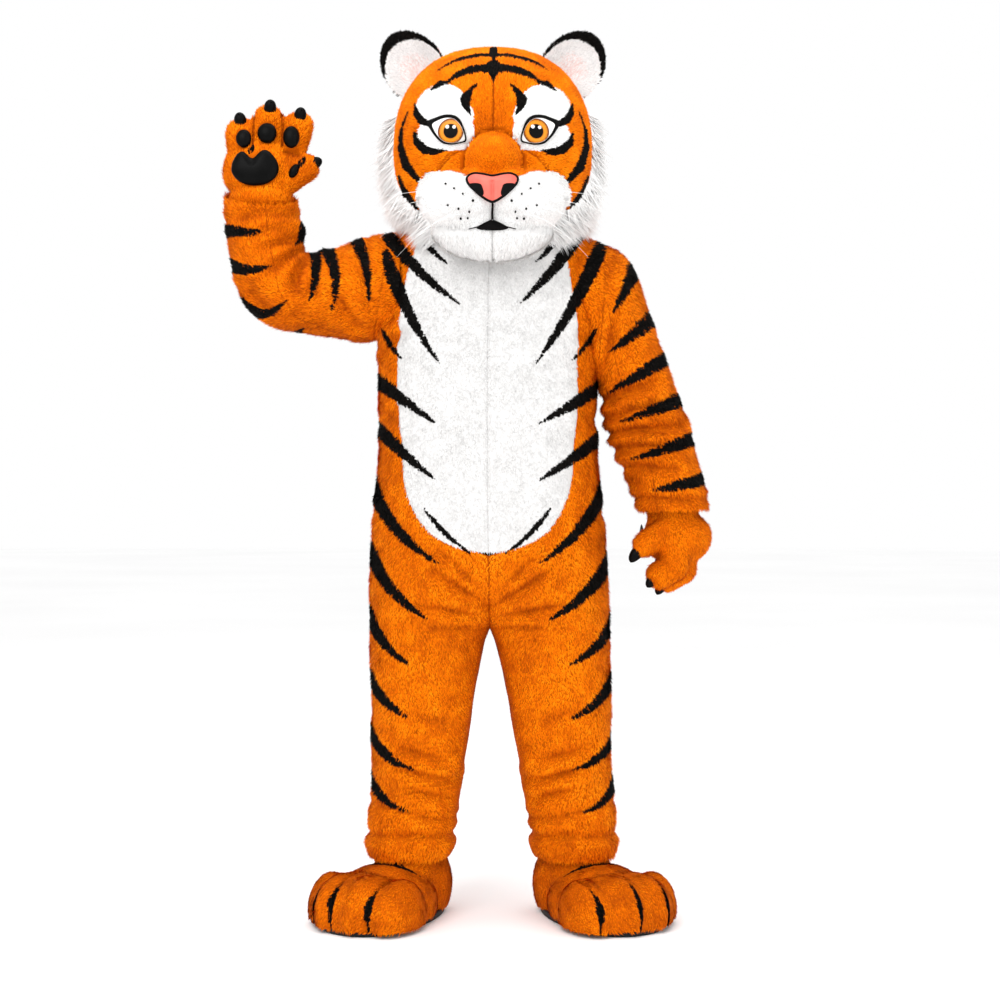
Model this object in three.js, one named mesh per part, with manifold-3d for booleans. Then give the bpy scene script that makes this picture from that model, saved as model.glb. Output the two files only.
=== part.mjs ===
// A worn tiger mascot costume: one hollow suit, two mitts, two foot covers and a foam head.
// Millimetres, +Z up. The front faces -Y and the wearer's left is +X.
// Heights in the tables are above the ground. The exported group is lowered, so that its
// origin lies at the top of the shoulders, where the wearer carries the costume.
import * as THREE from "three";
import { mergeVertices } from "three/addons/utils/BufferGeometryUtils.js";
import Module from "manifold-3d";

const wasm = await Module();
wasm.setup();

// ---- driving dimensions ----
const SEAM = 0.3; // gap between two pieces at a seam
const CLOTH = 3; // plush cloth, backing and pressed pile
const FOAM = 12; // foam wall of the head and the foot covers, with its skin
const MITT_WALL = 8;
const SHOULDER_Z = 1490; // the wearer's shoulders, from the ground
const SQUARENESS = 0.86; // exponent of the body's section, 1 is an ellipse
const SEAT_Z = 622; // crotch, from the ground
const SOLE = 12;

const HEAD = { x: 0, y: -15, z: 1632, wide: 216, deep: 212, high: 234, square: 2.3 }; // centre and half sizes
const ORANGE = 0xe8740c;
const BLACK = 0x151312;
const WHITE = 0xf4f2ee;
const PINK = 0xf08a86;
const AMBER = 0xe89a1c;

// ---- solids ----
const plush = (color) => new THREE.MeshStandardMaterial({ color, roughness: 0.95, metalness: 0 });
const vinyl = (color) => new THREE.MeshStandardMaterial({ color, roughness: 0.3, metalness: 0 });

function solidOf(geometry) {
  const bare = geometry.index ? geometry.toNonIndexed() : geometry;
  const position = new THREE.BufferGeometry().setAttribute("position", bare.getAttribute("position"));
  const merged = mergeVertices(position, 1e-4);
  return new wasm.Manifold(
    new wasm.Mesh({
      numProp: 3,
      vertProperties: merged.attributes.position.array,
      triVerts: new Uint32Array(merged.index.array),
    }),
  );
}

function geometryOf(solid) {
  const mesh = solid.getMesh();
  const points = new Float32Array(mesh.numVert * 3);
  for (let i = 0; i < mesh.numVert; i++) {
    points.set(mesh.vertProperties.subarray(i * mesh.numProp, i * mesh.numProp + 3), i * 3);
  }
  return new THREE.BufferGeometry()
    .setAttribute("position", new THREE.BufferAttribute(points, 3))
    .setIndex(new THREE.BufferAttribute(new Uint32Array(mesh.triVerts), 1));
}

const cut = (solid, ...tools) => tools.reduce((left, tool) => left.subtract(tool), solid);
const join = (first, ...more) => more.reduce((sum, solid) => sum.add(solid), first);

// The largest separate body of a solid: booleans can leave crumbs.
function largest(solid) {
  return solid.decompose().reduce((best, body) => (body.volume() > best.volume() ? body : best));
}

const costume = new THREE.Group();
const suit = new THREE.Group();
const head = new THREE.Group();
const mitts = new THREE.Group();
const feet = new THREE.Group();
costume.add(suit, head, mitts, feet);
costume.position.z = -SHOULDER_Z;

function addSolid(group, name, solid, material) {
  const mesh = new THREE.Mesh(geometryOf(largest(solid)), material);
  mesh.name = name;
  group.add(mesh);
}

// ---- cloth walls ----
// grid[row][column] holds {p, n}: a point of the outer face and its outward normal.
// round closes the columns into a tube. The wall grows inwards by thickness.
function wall(grid, thickness, round = false) {
  const rows = grid.length;
  const columns = grid[0].length;
  const points = [];
  for (const inward of [0, thickness]) {
    for (const row of grid) {
      for (const { p, n } of row) {
        points.push(p.x - n.x * inward, p.y - n.y * inward, p.z - n.z * inward);
      }
    }
  }
  const index = [];
  const at = (layer, row, column) => layer * rows * columns + row * columns + (column % columns);
  const quad = (a, b, c, d) => index.push(a, b, c, a, c, d);
  const steps = round ? columns : columns - 1;
  for (let r = 0; r < rows - 1; r++) {
    for (let c = 0; c < steps; c++) {
      quad(at(0, r, c), at(0, r, c + 1), at(0, r + 1, c + 1), at(0, r + 1, c));
      quad(at(1, r, c), at(1, r + 1, c), at(1, r + 1, c + 1), at(1, r, c + 1));
    }
  }
  for (let c = 0; c < steps; c++) {
    quad(at(0, 0, c), at(1, 0, c), at(1, 0, c + 1), at(0, 0, c + 1));
    quad(at(0, rows - 1, c), at(0, rows - 1, c + 1), at(1, rows - 1, c + 1), at(1, rows - 1, c));
  }
  if (!round) {
    for (let r = 0; r < rows - 1; r++) {
      quad(at(0, r, 0), at(0, r + 1, 0), at(1, r + 1, 0), at(1, r, 0));
      quad(at(0, r, steps), at(1, r, steps), at(1, r + 1, steps), at(0, r + 1, steps));
    }
  }
  const geometry = new THREE.BufferGeometry();
  geometry.setAttribute("position", new THREE.Float32BufferAttribute(points, 3));
  geometry.setIndex(index);
  const solid = solidOf(geometry);
  return solid.volume() > 0 ? solid : solidOf(turned(geometry));
}

function turned(geometry) {
  const index = geometry.index.array;
  for (let i = 0; i < index.length; i += 3) {
    [index[i + 1], index[i + 2]] = [index[i + 2], index[i + 1]];
  }
  return geometry;
}

// A closed body from rings of points, with a flat cap at each end.
function plug(rings) {
  const columns = rings[0].length;
  const points = [];
  const index = [];
  for (const ring of rings) {
    for (const p of ring) points.push(p.x, p.y, p.z);
  }
  for (let r = 0; r < rings.length - 1; r++) {
    for (let c = 0; c < columns; c++) {
      const d = (c + 1) % columns;
      const [low, high] = [r * columns, (r + 1) * columns];
      index.push(low + c, low + d, high + d, low + c, high + d, high + c);
    }
  }
  for (const [ring, flip] of [[0, true], [rings.length - 1, false]]) {
    const middle = points.length / 3;
    const centre = rings[ring].reduce((sum, p) => sum.add(p), new THREE.Vector3()).divideScalar(columns);
    points.push(centre.x, centre.y, centre.z);
    for (let c = 0; c < columns; c++) {
      const pair = [ring * columns + c, ring * columns + ((c + 1) % columns)];
      if (flip) pair.reverse();
      index.push(middle, ...pair);
    }
  }
  const geometry = new THREE.BufferGeometry();
  geometry.setAttribute("position", new THREE.Float32BufferAttribute(points, 3));
  geometry.setIndex(index);
  const solid = solidOf(geometry);
  return solid.volume() > 0 ? solid : solidOf(turned(geometry));
}

// A row of named columns at a height between two rows of a table.
function rowAt(table, z) {
  const last = table.length - 1;
  let i = table.findIndex((row) => row.z > z) - 1;
  if (i < 0) i = z < table[0].z ? 0 : last - 1;
  const [a, b] = [table[i], table[i + 1]];
  const share = (z - a.z) / (b.z - a.z);
  return Object.fromEntries(Object.keys(a).map((key) => [key, a[key] + (b[key] - a[key]) * share]));
}

// Unit normal of a surface function of two numbers, by differences.
function normalOf(surface, u, v, du, dv, outFrom) {
  const along = surface(u + du, v).sub(surface(u - du, v));
  const across = surface(u, v + dv).sub(surface(u, v - dv));
  const n = along.cross(across).normalize();
  return n.dot(surface(u, v).sub(outFrom)) < 0 ? n.negate() : n;
}

// ---- suit: body and legs ----
// mid: the middle line's x. side: outer half width. gap: half the space between the legs.
// merge: 1 for two legs, 0 for one body. depth: half depth. back: the middle's y.
const bodyRows = [
  { z: 128, mid: 2, side: 262, gap: 90, merge: 1, depth: 86, back: 6 },
  { z: 162, mid: 2, side: 270, gap: 79, merge: 1, depth: 97, back: 6 },
  { z: 182, mid: 2, side: 261, gap: 86, merge: 1, depth: 90, back: 6 },
  { z: 205, mid: 2, side: 266, gap: 76, merge: 1, depth: 97, back: 6 },
  { z: 260, mid: 1, side: 259, gap: 72, merge: 1, depth: 95, back: 6 },
  { z: 371, mid: 0, side: 257, gap: 51, merge: 1, depth: 106, back: 6 },
  { z: 525, mid: -2, side: 256, gap: 25, merge: 1, depth: 122, back: 6 },
  { z: 590, mid: -3, side: 257, gap: 13, merge: 1, depth: 131, back: 6 },
  { z: SEAT_Z, mid: -4, side: 257, gap: 4, merge: 1, depth: 136, back: 6 },
  { z: 640, mid: -4, side: 257, gap: 0, merge: 0.93, depth: 139, back: 6 },
  { z: 680, mid: -5, side: 256, gap: 0, merge: 0.72, depth: 146, back: 6 },
  { z: 730, mid: -5, side: 254, gap: 0, merge: 0.42, depth: 152, back: 7 },
  { z: 790, mid: -6, side: 250, gap: 0, merge: 0.15, depth: 157, back: 8 },
  { z: 850, mid: -7, side: 245, gap: 0, merge: 0, depth: 160, back: 9 },
  { z: 1016, mid: -8, side: 233, gap: 0, merge: 0, depth: 163, back: 11 },
  { z: 1180, mid: -8, side: 236, gap: 0, merge: 0, depth: 155, back: 12 },
  { z: 1260, mid: -7, side: 238, gap: 0, merge: 0, depth: 150, back: 13 },
  { z: 1340, mid: -6, side: 237, gap: 0, merge: 0, depth: 145, back: 14 },
  { z: 1447, mid: -2, side: 216, gap: 0, merge: 0, depth: 122, back: 15 },
  { z: 1465, mid: -1, side: 194, gap: 0, merge: 0, depth: 114, back: 15 },
  { z: 1480, mid: 0, side: 167, gap: 0, merge: 0, depth: 106, back: 15 },
  { z: 1490, mid: 0, side: 148, gap: 0, merge: 0, depth: 100, back: 15 },
  { z: 1500, mid: 0, side: 122, gap: 0, merge: 0, depth: 95, back: 15 },
  { z: 1520, mid: 0, side: 108, gap: 0, merge: 0, depth: 92, back: 15 },
];

// Half width of the white front panel, with a round lower end.
const bellyRows = [
  { z: 781, half: 0 },
  { z: 785, half: 34 },
  { z: 792, half: 60 },
  { z: 810, half: 101 },
  { z: 850, half: 143 },
  { z: 890, half: 164 },
  { z: 1016, half: 181 },
  { z: 1180, half: 190 },
  { z: 1260, half: 186 },
  { z: 1340, half: 175 },
  { z: 1447, half: 142 },
  { z: 1465, half: 128 },
  { z: 1480, half: 108 },
  { z: 1490, half: 92 },
  { z: 1500, half: 80 },
  { z: 1520, half: 75 },
];
const BELLY_LOW = bellyRows[0].z;
const ZIP_LOW = 890;
const ZIP_HALF = 4;

const signedPower = (value, power) => Math.sign(value) * Math.abs(value) ** power;

// A point of the body's outer face. angle 0 is the side seam, and negative angles are in front.
function bodyPoint(hand, angle, z, grow = 0) {
  const row = rowAt(bodyRows, z);
  const radius = (row.side - row.gap) / (1 + row.merge);
  const centre = row.side - radius;
  const across = centre + (radius + grow) * signedPower(Math.cos(angle), SQUARENESS);
  const deep = (row.depth + grow) * signedPower(Math.sin(angle), SQUARENESS);
  return new THREE.Vector3(row.mid + hand * across, row.back + deep, z);
}

// The angle at which the section is reach away from the middle line.
function angleAt(z, reach) {
  const row = rowAt(bodyRows, z);
  const radius = (row.side - row.gap) / (1 + row.merge);
  const cosine = signedPower((reach - (row.side - radius)) / radius, 1 / SQUARENESS);
  if (cosine > -1) return Math.acos(Math.min(1, cosine));
  return Math.PI - SEAM / 2 / row.depth;
}

function bodyCell(hand, angle, z) {
  const row = rowAt(bodyRows, z);
  const radius = (row.side - row.gap) / (1 + row.merge);
  const inside = new THREE.Vector3(row.mid + hand * (row.side - radius), row.back, z);
  const surface = (a, h) => bodyPoint(hand, a, h);
  return { p: bodyPoint(hand, angle, z), n: normalOf(surface, angle, z, 0.01, 3, inside) };
}

const COLUMNS = 3;
function bodyGrid(hand, heights, fromAngle, toAngle, columns = COLUMNS) {
  return heights.map((z) => {
    const [from, to] = [fromAngle(z), toAngle(z)];
    return Array.from({ length: columns + 1 }, (_, c) => bodyCell(hand, from + ((to - from) * c) / columns, z));
  });
}

const sideSeam = (z) => SEAM / 2 / rowAt(bodyRows, z).depth;
const bodyHeights = bodyRows.map((row) => row.z);
const bellyHeights = bellyRows.map((row) => row.z);
const frontHeights = [...new Set([...bodyHeights, ...bellyHeights])].sort((a, b) => a - b);
const backHeights = [...new Set([...bodyHeights, ZIP_LOW])].sort((a, b) => a - b);

function frontPanel(hand) {
  const innerEdge = (z) => {
    const half = z > BELLY_LOW ? rowAt(bellyRows, z).half : 0;
    return -angleAt(z, half + SEAM / 2);
  };
  return wall(bodyGrid(hand, frontHeights, innerEdge, (z) => -sideSeam(z)), CLOTH);
}

function backPanel(hand) {
  const centreEdge = (z) => angleAt(z, z >= ZIP_LOW ? ZIP_HALF + SEAM : SEAM / 2);
  return wall(bodyGrid(hand, backHeights, sideSeam, centreEdge), CLOTH);
}

function bellyPanel(hand) {
  const heights = [BELLY_LOW + 1.5, ...bellyHeights.slice(1)];
  const outerEdge = (z) => -angleAt(z, rowAt(bellyRows, z).half - SEAM / 2);
  return wall(bodyGrid(hand, heights, (z) => -angleAt(z, SEAM / 2), outerEdge, 3), CLOTH);
}

function zipStrip() {
  const heights = backHeights.filter((z) => z >= ZIP_LOW);
  const grid = heights.map((z) => {
    const [left, right] = [1, -1].map((hand) => bodyCell(hand, angleAt(z, ZIP_HALF), z));
    return [left, right];
  });
  return wall(grid, CLOTH);
}

// ---- sleeves ----
// Each ring has its under and upper point in the front view, and half its depth.
// dip lowers the ring's front edge. y is the ring's middle.
const raisedRings = [
  { underX: -150, underZ: 1248, upperX: -150, upperZ: 1462, y: 12, deep: 98, dip: 0 },
  { underX: -215, underZ: 1243, upperX: -222, upperZ: 1459, y: 12, deep: 99, dip: 0 },
  { underX: -275, underZ: 1236, upperX: -285, upperZ: 1446, y: 10, deep: 96, dip: 0 },
  { underX: -345, underZ: 1242, upperX: -345, upperZ: 1433, y: 6, deep: 91, dip: 0 },
  { underX: -408, underZ: 1250, upperX: -385, upperZ: 1417, y: 2, deep: 87, dip: 0 },
  { underX: -470, underZ: 1267, upperX: -401, upperZ: 1418, y: -2, deep: 84, dip: 0 },
  { underX: -518, underZ: 1303, upperX: -407, upperZ: 1426, y: -5, deep: 82, dip: 0 },
  { underX: -543, underZ: 1353, upperX: -409, upperZ: 1440, y: -8, deep: 81, dip: 4 },
  { underX: -557, underZ: 1405, upperX: -407, upperZ: 1462, y: -12, deep: 80, dip: 10 },
  { underX: -565, underZ: 1455, upperX: -409, upperZ: 1488, y: -16, deep: 79, dip: 18 },
  { underX: -570, underZ: 1508, upperX: -414, upperZ: 1514, y: -20, deep: 78, dip: 24 },
  { underX: -571, underZ: 1541, upperX: -415, upperZ: 1530, y: -20, deep: 78, dip: 28 },
];
const loweredRings = [
  { underX: 120, underZ: 1290, upperX: 150, upperZ: 1460, y: 12, deep: 88, dip: 0 },
  { underX: 150, underZ: 1258, upperX: 222, upperZ: 1449, y: 12, deep: 96, dip: 0 },
  { underX: 186, underZ: 1222, upperX: 299, upperZ: 1399, y: 11, deep: 98, dip: 0 },
  { underX: 214, underZ: 1176, upperX: 340, upperZ: 1284, y: 8, deep: 97, dip: 0 },
  { underX: 234, underZ: 1128, upperX: 378, upperZ: 1184, y: 5, deep: 93, dip: 0 },
  { underX: 247, underZ: 1078, upperX: 400, upperZ: 1112, y: 2, deep: 89, dip: 0 },
  { underX: 258, underZ: 1026, upperX: 423, upperZ: 1044, y: 0, deep: 86, dip: 0 },
  { underX: 280, underZ: 970, upperX: 440, upperZ: 982, y: -4, deep: 82, dip: 0 },
  { underX: 301, underZ: 915, upperX: 455, upperZ: 922, y: -8, deep: 79, dip: 0 },
  { underX: 317, underZ: 868, upperX: 462, upperZ: 872, y: -10, deep: 76, dip: 0 },
];
const RING_SIDES = 10;

// Points round one ring, grown outwards. The ring turns from its upper point through its front.
function ringPoints(ring, grow = 0) {
  const under = new THREE.Vector3(ring.underX, ring.y, ring.underZ);
  const upper = new THREE.Vector3(ring.upperX, ring.y, ring.upperZ);
  const middle = under.clone().add(upper).multiplyScalar(0.5);
  const up = upper.clone().sub(middle);
  const reach = (up.length() + grow) / up.length();
  return Array.from({ length: RING_SIDES }, (_, i) => {
    const turn = (i / RING_SIDES) * 2 * Math.PI;
    const front = Math.sin(turn);
    return new THREE.Vector3(0, -front * (ring.deep + grow), -front * ring.dip)
      .addScaledVector(up, Math.cos(turn) * reach)
      .add(middle);
  });
}

function sleeveTube(rings) {
  const outer = rings.map((ring) => ringPoints(ring));
  const inner = rings.map((ring) => ringPoints(ring, -CLOTH));
  const grid = outer.map((points, r) =>
    points.map((p, i) => ({ p, n: p.clone().sub(inner[r][i]).divideScalar(CLOTH) })),
  );
  return wall(grid, CLOTH, true);
}

// The arm's room: the sleeve's hollow, run on past both ends of the given rings.
const sleeveHollow = (rings) => plug(rings.map((ring) => ringPoints(ring, -CLOTH - SEAM)));

// The upper body as one closed body, grown by the seam.
function bodyBlock() {
  const heights = bodyHeights.filter((z) => z >= 1016);
  const rings = heights.map((z) => {
    const half = (hand, turns) => turns.map((turn) => bodyPoint(hand, turn, z, 4 * SEAM));
    const turns = Array.from({ length: 21 }, (_, i) => (i / 10 - 1) * (Math.PI / 2));
    return [...half(1, turns), ...half(-1, turns.slice(1, -1).reverse())];
  });
  return plug(rings);
}

function buildSuit() {
  const body = bodyBlock();
  const hands = { left: 1, right: -1 };
  const sleeves = { left: loweredRings, right: raisedRings };
  for (const [name, hand] of Object.entries(hands)) {
    const arm = sleeveHollow(sleeves[name].slice(0, 5));
    addSolid(suit, `front_${name}`, cut(frontPanel(hand), arm), plush(ORANGE));
    addSolid(suit, `back_${name}`, cut(backPanel(hand), arm), plush(ORANGE));
    addSolid(suit, `belly_${name}`, bellyPanel(hand), plush(WHITE));
    addSolid(suit, `sleeve_${name}`, cut(sleeveTube(sleeves[name]), body), plush(ORANGE));
  }
  addSolid(suit, "back_zip", zipStrip(), plush(ORANGE));
}

// ---- head ----
const RAD = Math.PI / 180;

// A point of the head's outer face. turn 0 faces front and rises towards +X; tilt is above level.
function headPoint(turn, tilt, grow = 0) {
  const way = new THREE.Vector3(
    Math.sin(turn) * Math.cos(tilt),
    -Math.cos(turn) * Math.cos(tilt),
    Math.sin(tilt),
  );
  const power = HEAD.square;
  const shares = [way.x / (HEAD.wide + grow), way.y / (HEAD.deep + grow), way.z / (HEAD.high + grow)];
  const reach = shares.reduce((sum, share) => sum + Math.abs(share) ** power, 0) ** (-1 / power);
  return way.multiplyScalar(reach).add(new THREE.Vector3(HEAD.x, HEAD.y, HEAD.z));
}

function headNormal(p, grow = 0) {
  const slope = (away, half) => signedPower(away / half, HEAD.square - 1) / half;
  return new THREE.Vector3(
    slope(p.x - HEAD.x, HEAD.wide + grow),
    slope(p.y - HEAD.y, HEAD.deep + grow),
    slope(p.z - HEAD.z, HEAD.high + grow),
  ).normalize();
}

// The neck opening is low in front and behind, and high over the shoulders. Degrees.
const neckTilt = (turn) => -(45.5 + 5 * Math.cos(turn * RAD) + 5.5 * Math.cos(2 * turn * RAD));
const JAW_TILT = -33;
const RUFF_TOP = 21;
const RUFF_OUT = 24;
const TOP_TILT = 89.9;

const SIDE_TURN = 90; // the face meets the back of the head here

// The cheek ruff's front and back edges at each tilt, degrees round from the front.
const ruffRows = [
  { z: -56, front: 45, back: 116 },
  { z: -33, front: 57, back: 118 },
  { z: -20, front: 68, back: 118 },
  { z: -5, front: 78, back: 114 },
  { z: 10, front: 85, back: 108 },
  { z: 22, front: 90, back: 100 },
];

const steps = (from, to, count) => Array.from({ length: count + 1 }, (_, i) => from + ((to - from) * i) / count);

// A wall of the head. from and to give its edges at each tilt, and low the tilt of its lower edge.
function headWall({ low, high, rows, from, to, columns, thickness = FOAM, grow = 0 }) {
  const grid = steps(0, 1, rows).map((share) =>
    steps(0, 1, columns).map((side) => {
      let tilt = typeof low === "number" ? low + (high - low) * share : 0;
      let turn = from(tilt) + (to(tilt) - from(tilt)) * side;
      if (typeof low !== "number") {
        const guess = low(turn);
        tilt = guess + (high - guess) * share;
        turn = from(tilt) + (to(tilt) - from(tilt)) * side;
        const foot = low(turn);
        tilt = foot + (high - foot) * share;
      }
      const p = headPoint(turn * RAD, tilt * RAD, grow);
      return { p, n: headNormal(p, grow) };
    }),
  );
  return wall(grid, thickness);
}

const seamTurn = (SEAM / 2 / HEAD.wide / RAD) * 1.6; // half a seam, in degrees of turn
const seamTilt = (1.5 * SEAM) / HEAD.high / RAD;

// The cheek ruff's wall, which stands out past the face by its fur.
function ruffWall(hand, grow) {
  return headWall({
    low: (turn) => neckTilt(turn) - (grow ? 2 : 0),
    high: RUFF_TOP + grow / HEAD.high / RAD,
    rows: 6,
    from: (tilt) => hand * (rowAt(ruffRows, tilt).front - 1.6 * grow),
    to: (tilt) => hand * (rowAt(ruffRows, tilt).back + 1.6 * grow),
    columns: 4,
    thickness: FOAM + RUFF_OUT + (grow ? 4 : 0),
    grow: RUFF_OUT + grow,
  });
}

function ball({ x, y, z, wide, deep, high, roll = 0, square = 2 }, grow = 0, sides = 14, rows = 9) {
  const geometry = new THREE.SphereGeometry(1, sides, rows);
  const points = geometry.attributes.position;
  for (let i = 0; i < points.count; i++) {
    const p = new THREE.Vector3().fromBufferAttribute(points, i);
    const reach = p.toArray().reduce((sum, share) => sum + Math.abs(share) ** square, 0) ** (-1 / square);
    points.setXYZ(i, p.x * reach, p.y * reach, p.z * reach);
  }
  geometry.scale(wide + grow, deep + grow, high + grow);
  geometry.rotateY(roll * RAD);
  geometry.translate(x, y, z);
  return solidOf(geometry);
}

const mirrored = (part, hand) => ({ ...part, x: part.x * hand, roll: (part.roll ?? 0) * hand });

// Foam shapes on the face, for the wearer's left. They are mirrored for the right.
const muzzle = { x: 74, y: -226, z: 1502, wide: 80, deep: 80, high: 58, roll: 8 };
const bridge = { x: 0, y: -208, z: 1588, wide: 58, deep: 88, high: 52 };
const chin = { x: 0, y: -192, z: 1449, wide: 128, deep: 78, high: 62 };
const mouth = { x: 0, y: -262, z: 1440, wide: 50, deep: 22, high: 14 };
const eye = { x: 90, y: -172, z: 1642, wide: 45, deep: 46, high: 41 };
const rim = { x: 90, y: -193, z: 1642, wide: 44, deep: 26, high: 35 };

// White patch round each eye: its outline's reach from the eye's centre, by angle from +X.
const patchRows = [
  { z: 0, reach: 66 },
  { z: 30, reach: 90 },
  { z: 60, reach: 104 },
  { z: 95, reach: 98 },
  { z: 125, reach: 62 },
  { z: 160, reach: 52 },
  { z: 180, reach: 50 },
  { z: 230, reach: 46 },
  { z: 270, reach: 46 },
  { z: 315, reach: 66 },
  { z: 360, reach: 66 },
];
const PATCH_HOLE = { wide: 45, high: 38 };

// A skin that lies on the face: each point of a flat ring is put on the head and moved out.
function eyePatch(hand) {
  const grow = 2.5 * SEAM + CLOTH;
  const grid = steps(0, 1, 2).map((share) =>
    steps(0, 19, 19).map((i) => {
      const angle = (i / 20) * 360;
      const hole = 1 / Math.hypot(Math.cos(angle * RAD) / PATCH_HOLE.wide, Math.sin(angle * RAD) / PATCH_HOLE.high);
      const reach = hole + (Math.max(rowAt(patchRows, angle).reach, hole + 4) - hole) * share;
      const x = (eye.x + reach * Math.cos(angle * RAD)) * hand;
      const z = eye.z + reach * Math.sin(angle * RAD);
      const [wide, deep, high] = [HEAD.wide + grow, HEAD.deep + grow, HEAD.high + grow];
      const power = HEAD.square;
      const left = 1 - Math.abs((x - HEAD.x) / wide) ** power - Math.abs((z - HEAD.z) / high) ** power;
      const p = new THREE.Vector3(x, HEAD.y - deep * left ** (1 / power), z);
      return { p, n: headNormal(p, grow) };
    }),
  );
  return wall(grid, CLOTH, true);
}

// Ear: a bowl that opens forward, an oval twice as thick at its rim as the skin.
const EAR = { x: 172, y: -6, z: 1826, across: 64, along: 80, depth: 34, lean: 42, face: 12 };
function earBowl(hand, inset, thickness) {
  const rise = (r) => -EAR.depth * (1 - r * r);
  const profile = [];
  const reach = 1 - inset / EAR.across;
  for (const r of steps(0, 1, 2)) profile.push(new THREE.Vector2(r * reach, rise(r) + inset));
  for (const r of steps(1, 0, 2)) profile.push(new THREE.Vector2(r * reach, rise(r) + inset + thickness));
  profile[0].x = 0;
  profile[profile.length - 1].x = 0;
  const geometry = new THREE.LatheGeometry(profile, 12);
  geometry.scale(EAR.across, 1, EAR.along);
  geometry.rotateX(Math.PI);
  geometry.rotateZ(hand * EAR.face * RAD);
  geometry.rotateY(hand * EAR.lean * RAD);
  geometry.translate(hand * EAR.x, EAR.y, EAR.z);
  const solid = solidOf(geometry.toNonIndexed());
  return solid.volume() > 0 ? solid : solidOf(turned(mergeVertices(positionOnly(geometry), 1e-4)));
}

function positionOnly(geometry) {
  const bare = geometry.clone();
  bare.deleteAttribute("normal");
  bare.deleteAttribute("uv");
  return bare;
}

// Nose: a rounded triangle, wide above, with its point at the lip.
const NOSE = { half: 52, top: 1542, low: 1486, back: -278, thick: 34, round: 5 };
function noseSolid() {
  const shape = new THREE.Shape();
  const { half, top, low } = NOSE;
  const middle = (top + low) / 2;
  shape.moveTo(0, top - 5);
  shape.bezierCurveTo(half * 0.35, top + 1, half * 0.75, top + 4, half, top - 10);
  shape.bezierCurveTo(half + 4, middle + 2, half * 0.5, middle - 10, 0, low);
  shape.bezierCurveTo(-half * 0.5, middle - 10, -half - 4, middle + 2, -half, top - 10);
  shape.bezierCurveTo(-half * 0.75, top + 4, -half * 0.35, top + 1, 0, top - 5);
  const geometry = new THREE.ExtrudeGeometry(shape, {
    depth: NOSE.thick - 2 * NOSE.round,
    bevelThickness: NOSE.round,
    bevelSize: NOSE.round,
    bevelOffset: -NOSE.round,
    bevelSegments: 2,
    curveSegments: 5,
  });
  geometry.rotateX(Math.PI / 2);
  geometry.translate(0, NOSE.back, 0);
  return solidOf(positionOnly(geometry));
}

function buildHead() {
  const outside = ball(HEAD, 2.5, 24, 16); // its facets stand clear of the head's own
  const room = ball(HEAD, -FOAM, 20, 14);
  const nose = noseSolid();
  const handed = (part, hand, grow, sides, rows) => ball(mirrored(part, hand), grow, sides, rows);

  for (const [name, hand] of [["left", 1], ["right", -1]]) {
    const eyeHole = handed(eye, hand, SEAM, 14, 8);
    const ruffPocket = ruffWall(hand, SEAM);
    const face = headWall({
      low: JAW_TILT + seamTilt,
      high: TOP_TILT,
      rows: 7,
      from: () => hand * seamTurn,
      to: () => hand * (SIDE_TURN - seamTurn),
      columns: 5,
    });
    addSolid(head, `face_${name}`, cut(face, eyeHole, ruffPocket), plush(ORANGE));
    addSolid(head, `ruff_${name}`, ruffWall(hand, 0), plush(WHITE));
    addSolid(head, `eye_patch_${name}`, cut(eyePatch(hand), ball(bridge, SEAM)), plush(WHITE));
    addSolid(head, `eye_${name}`, cut(handed(eye, hand, 0, 14, 8), room), vinyl(AMBER));
    const rimRing = cut(handed(rim, hand, 0, 14, 8), handed(eye, hand, SEAM, 14, 8), outside);
    addSolid(head, `eye_rim_${name}`, cut(rimRing, eyePatchBlock(hand)), vinyl(BLACK));
    const puff = cut(handed(muzzle, hand, 0), outside, ball(bridge, SEAM), nosePocket(nose), halfSpace(-hand));
    addSolid(head, `muzzle_${name}`, puff, plush(WHITE));
    const earBack = cut(earBowl(hand, 0, 5), outside);
    const earFront = cut(earBowl(hand, 5 + SEAM, 6), outside);
    addSolid(head, `ear_back_${name}`, earBack, plush(ORANGE));
    addSolid(head, `ear_front_${name}`, earFront, plush(WHITE));
  }
  const back = headWall({
    low: neckTilt,
    high: TOP_TILT,
    rows: 9,
    from: () => SIDE_TURN + seamTurn,
    to: () => 360 - SIDE_TURN - seamTurn,
    columns: 10,
  });
  const ruffPockets = [1, -1].map((hand) => ruffWall(hand, SEAM));
  addSolid(head, "head_back", cut(back, ...ruffPockets), plush(ORANGE));
  const jaw = headWall({
    low: neckTilt,
    high: JAW_TILT - seamTilt,
    rows: 2,
    from: () => seamTurn - SIDE_TURN,
    to: () => SIDE_TURN - seamTurn,
    columns: 10,
  });
  addSolid(head, "jaw", cut(jaw, ...ruffPockets), plush(WHITE));
  const puffs = [1, -1].map((hand) => handed(muzzle, hand, SEAM));
  addSolid(head, "chin", cut(ball(chin, 0, 14, 8), outside, ...puffs), plush(WHITE));
  addSolid(head, "mouth", cut(ball(mouth, 0, 10, 6), outside, ...puffs, ball(chin, SEAM, 14, 8)), vinyl(BLACK));
  addSolid(head, "bridge", cut(ball(bridge), outside, nosePocket(nose)), plush(ORANGE));
  addSolid(head, "nose", nose, vinyl(PINK));
}

// The nose grown by a seam, which its neighbours are cut by.
function nosePocket(nose) {
  const middle = [0, NOSE.back - NOSE.thick / 2, (NOSE.top + NOSE.low) / 2];
  const share = 1 + SEAM / (NOSE.thick / 2);
  return nose
    .translate(middle.map((v) => -v))
    .scale([1 + SEAM / NOSE.half, share, 1 + (2 * SEAM) / (NOSE.top - NOSE.low)])
    .translate(middle);
}

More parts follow.
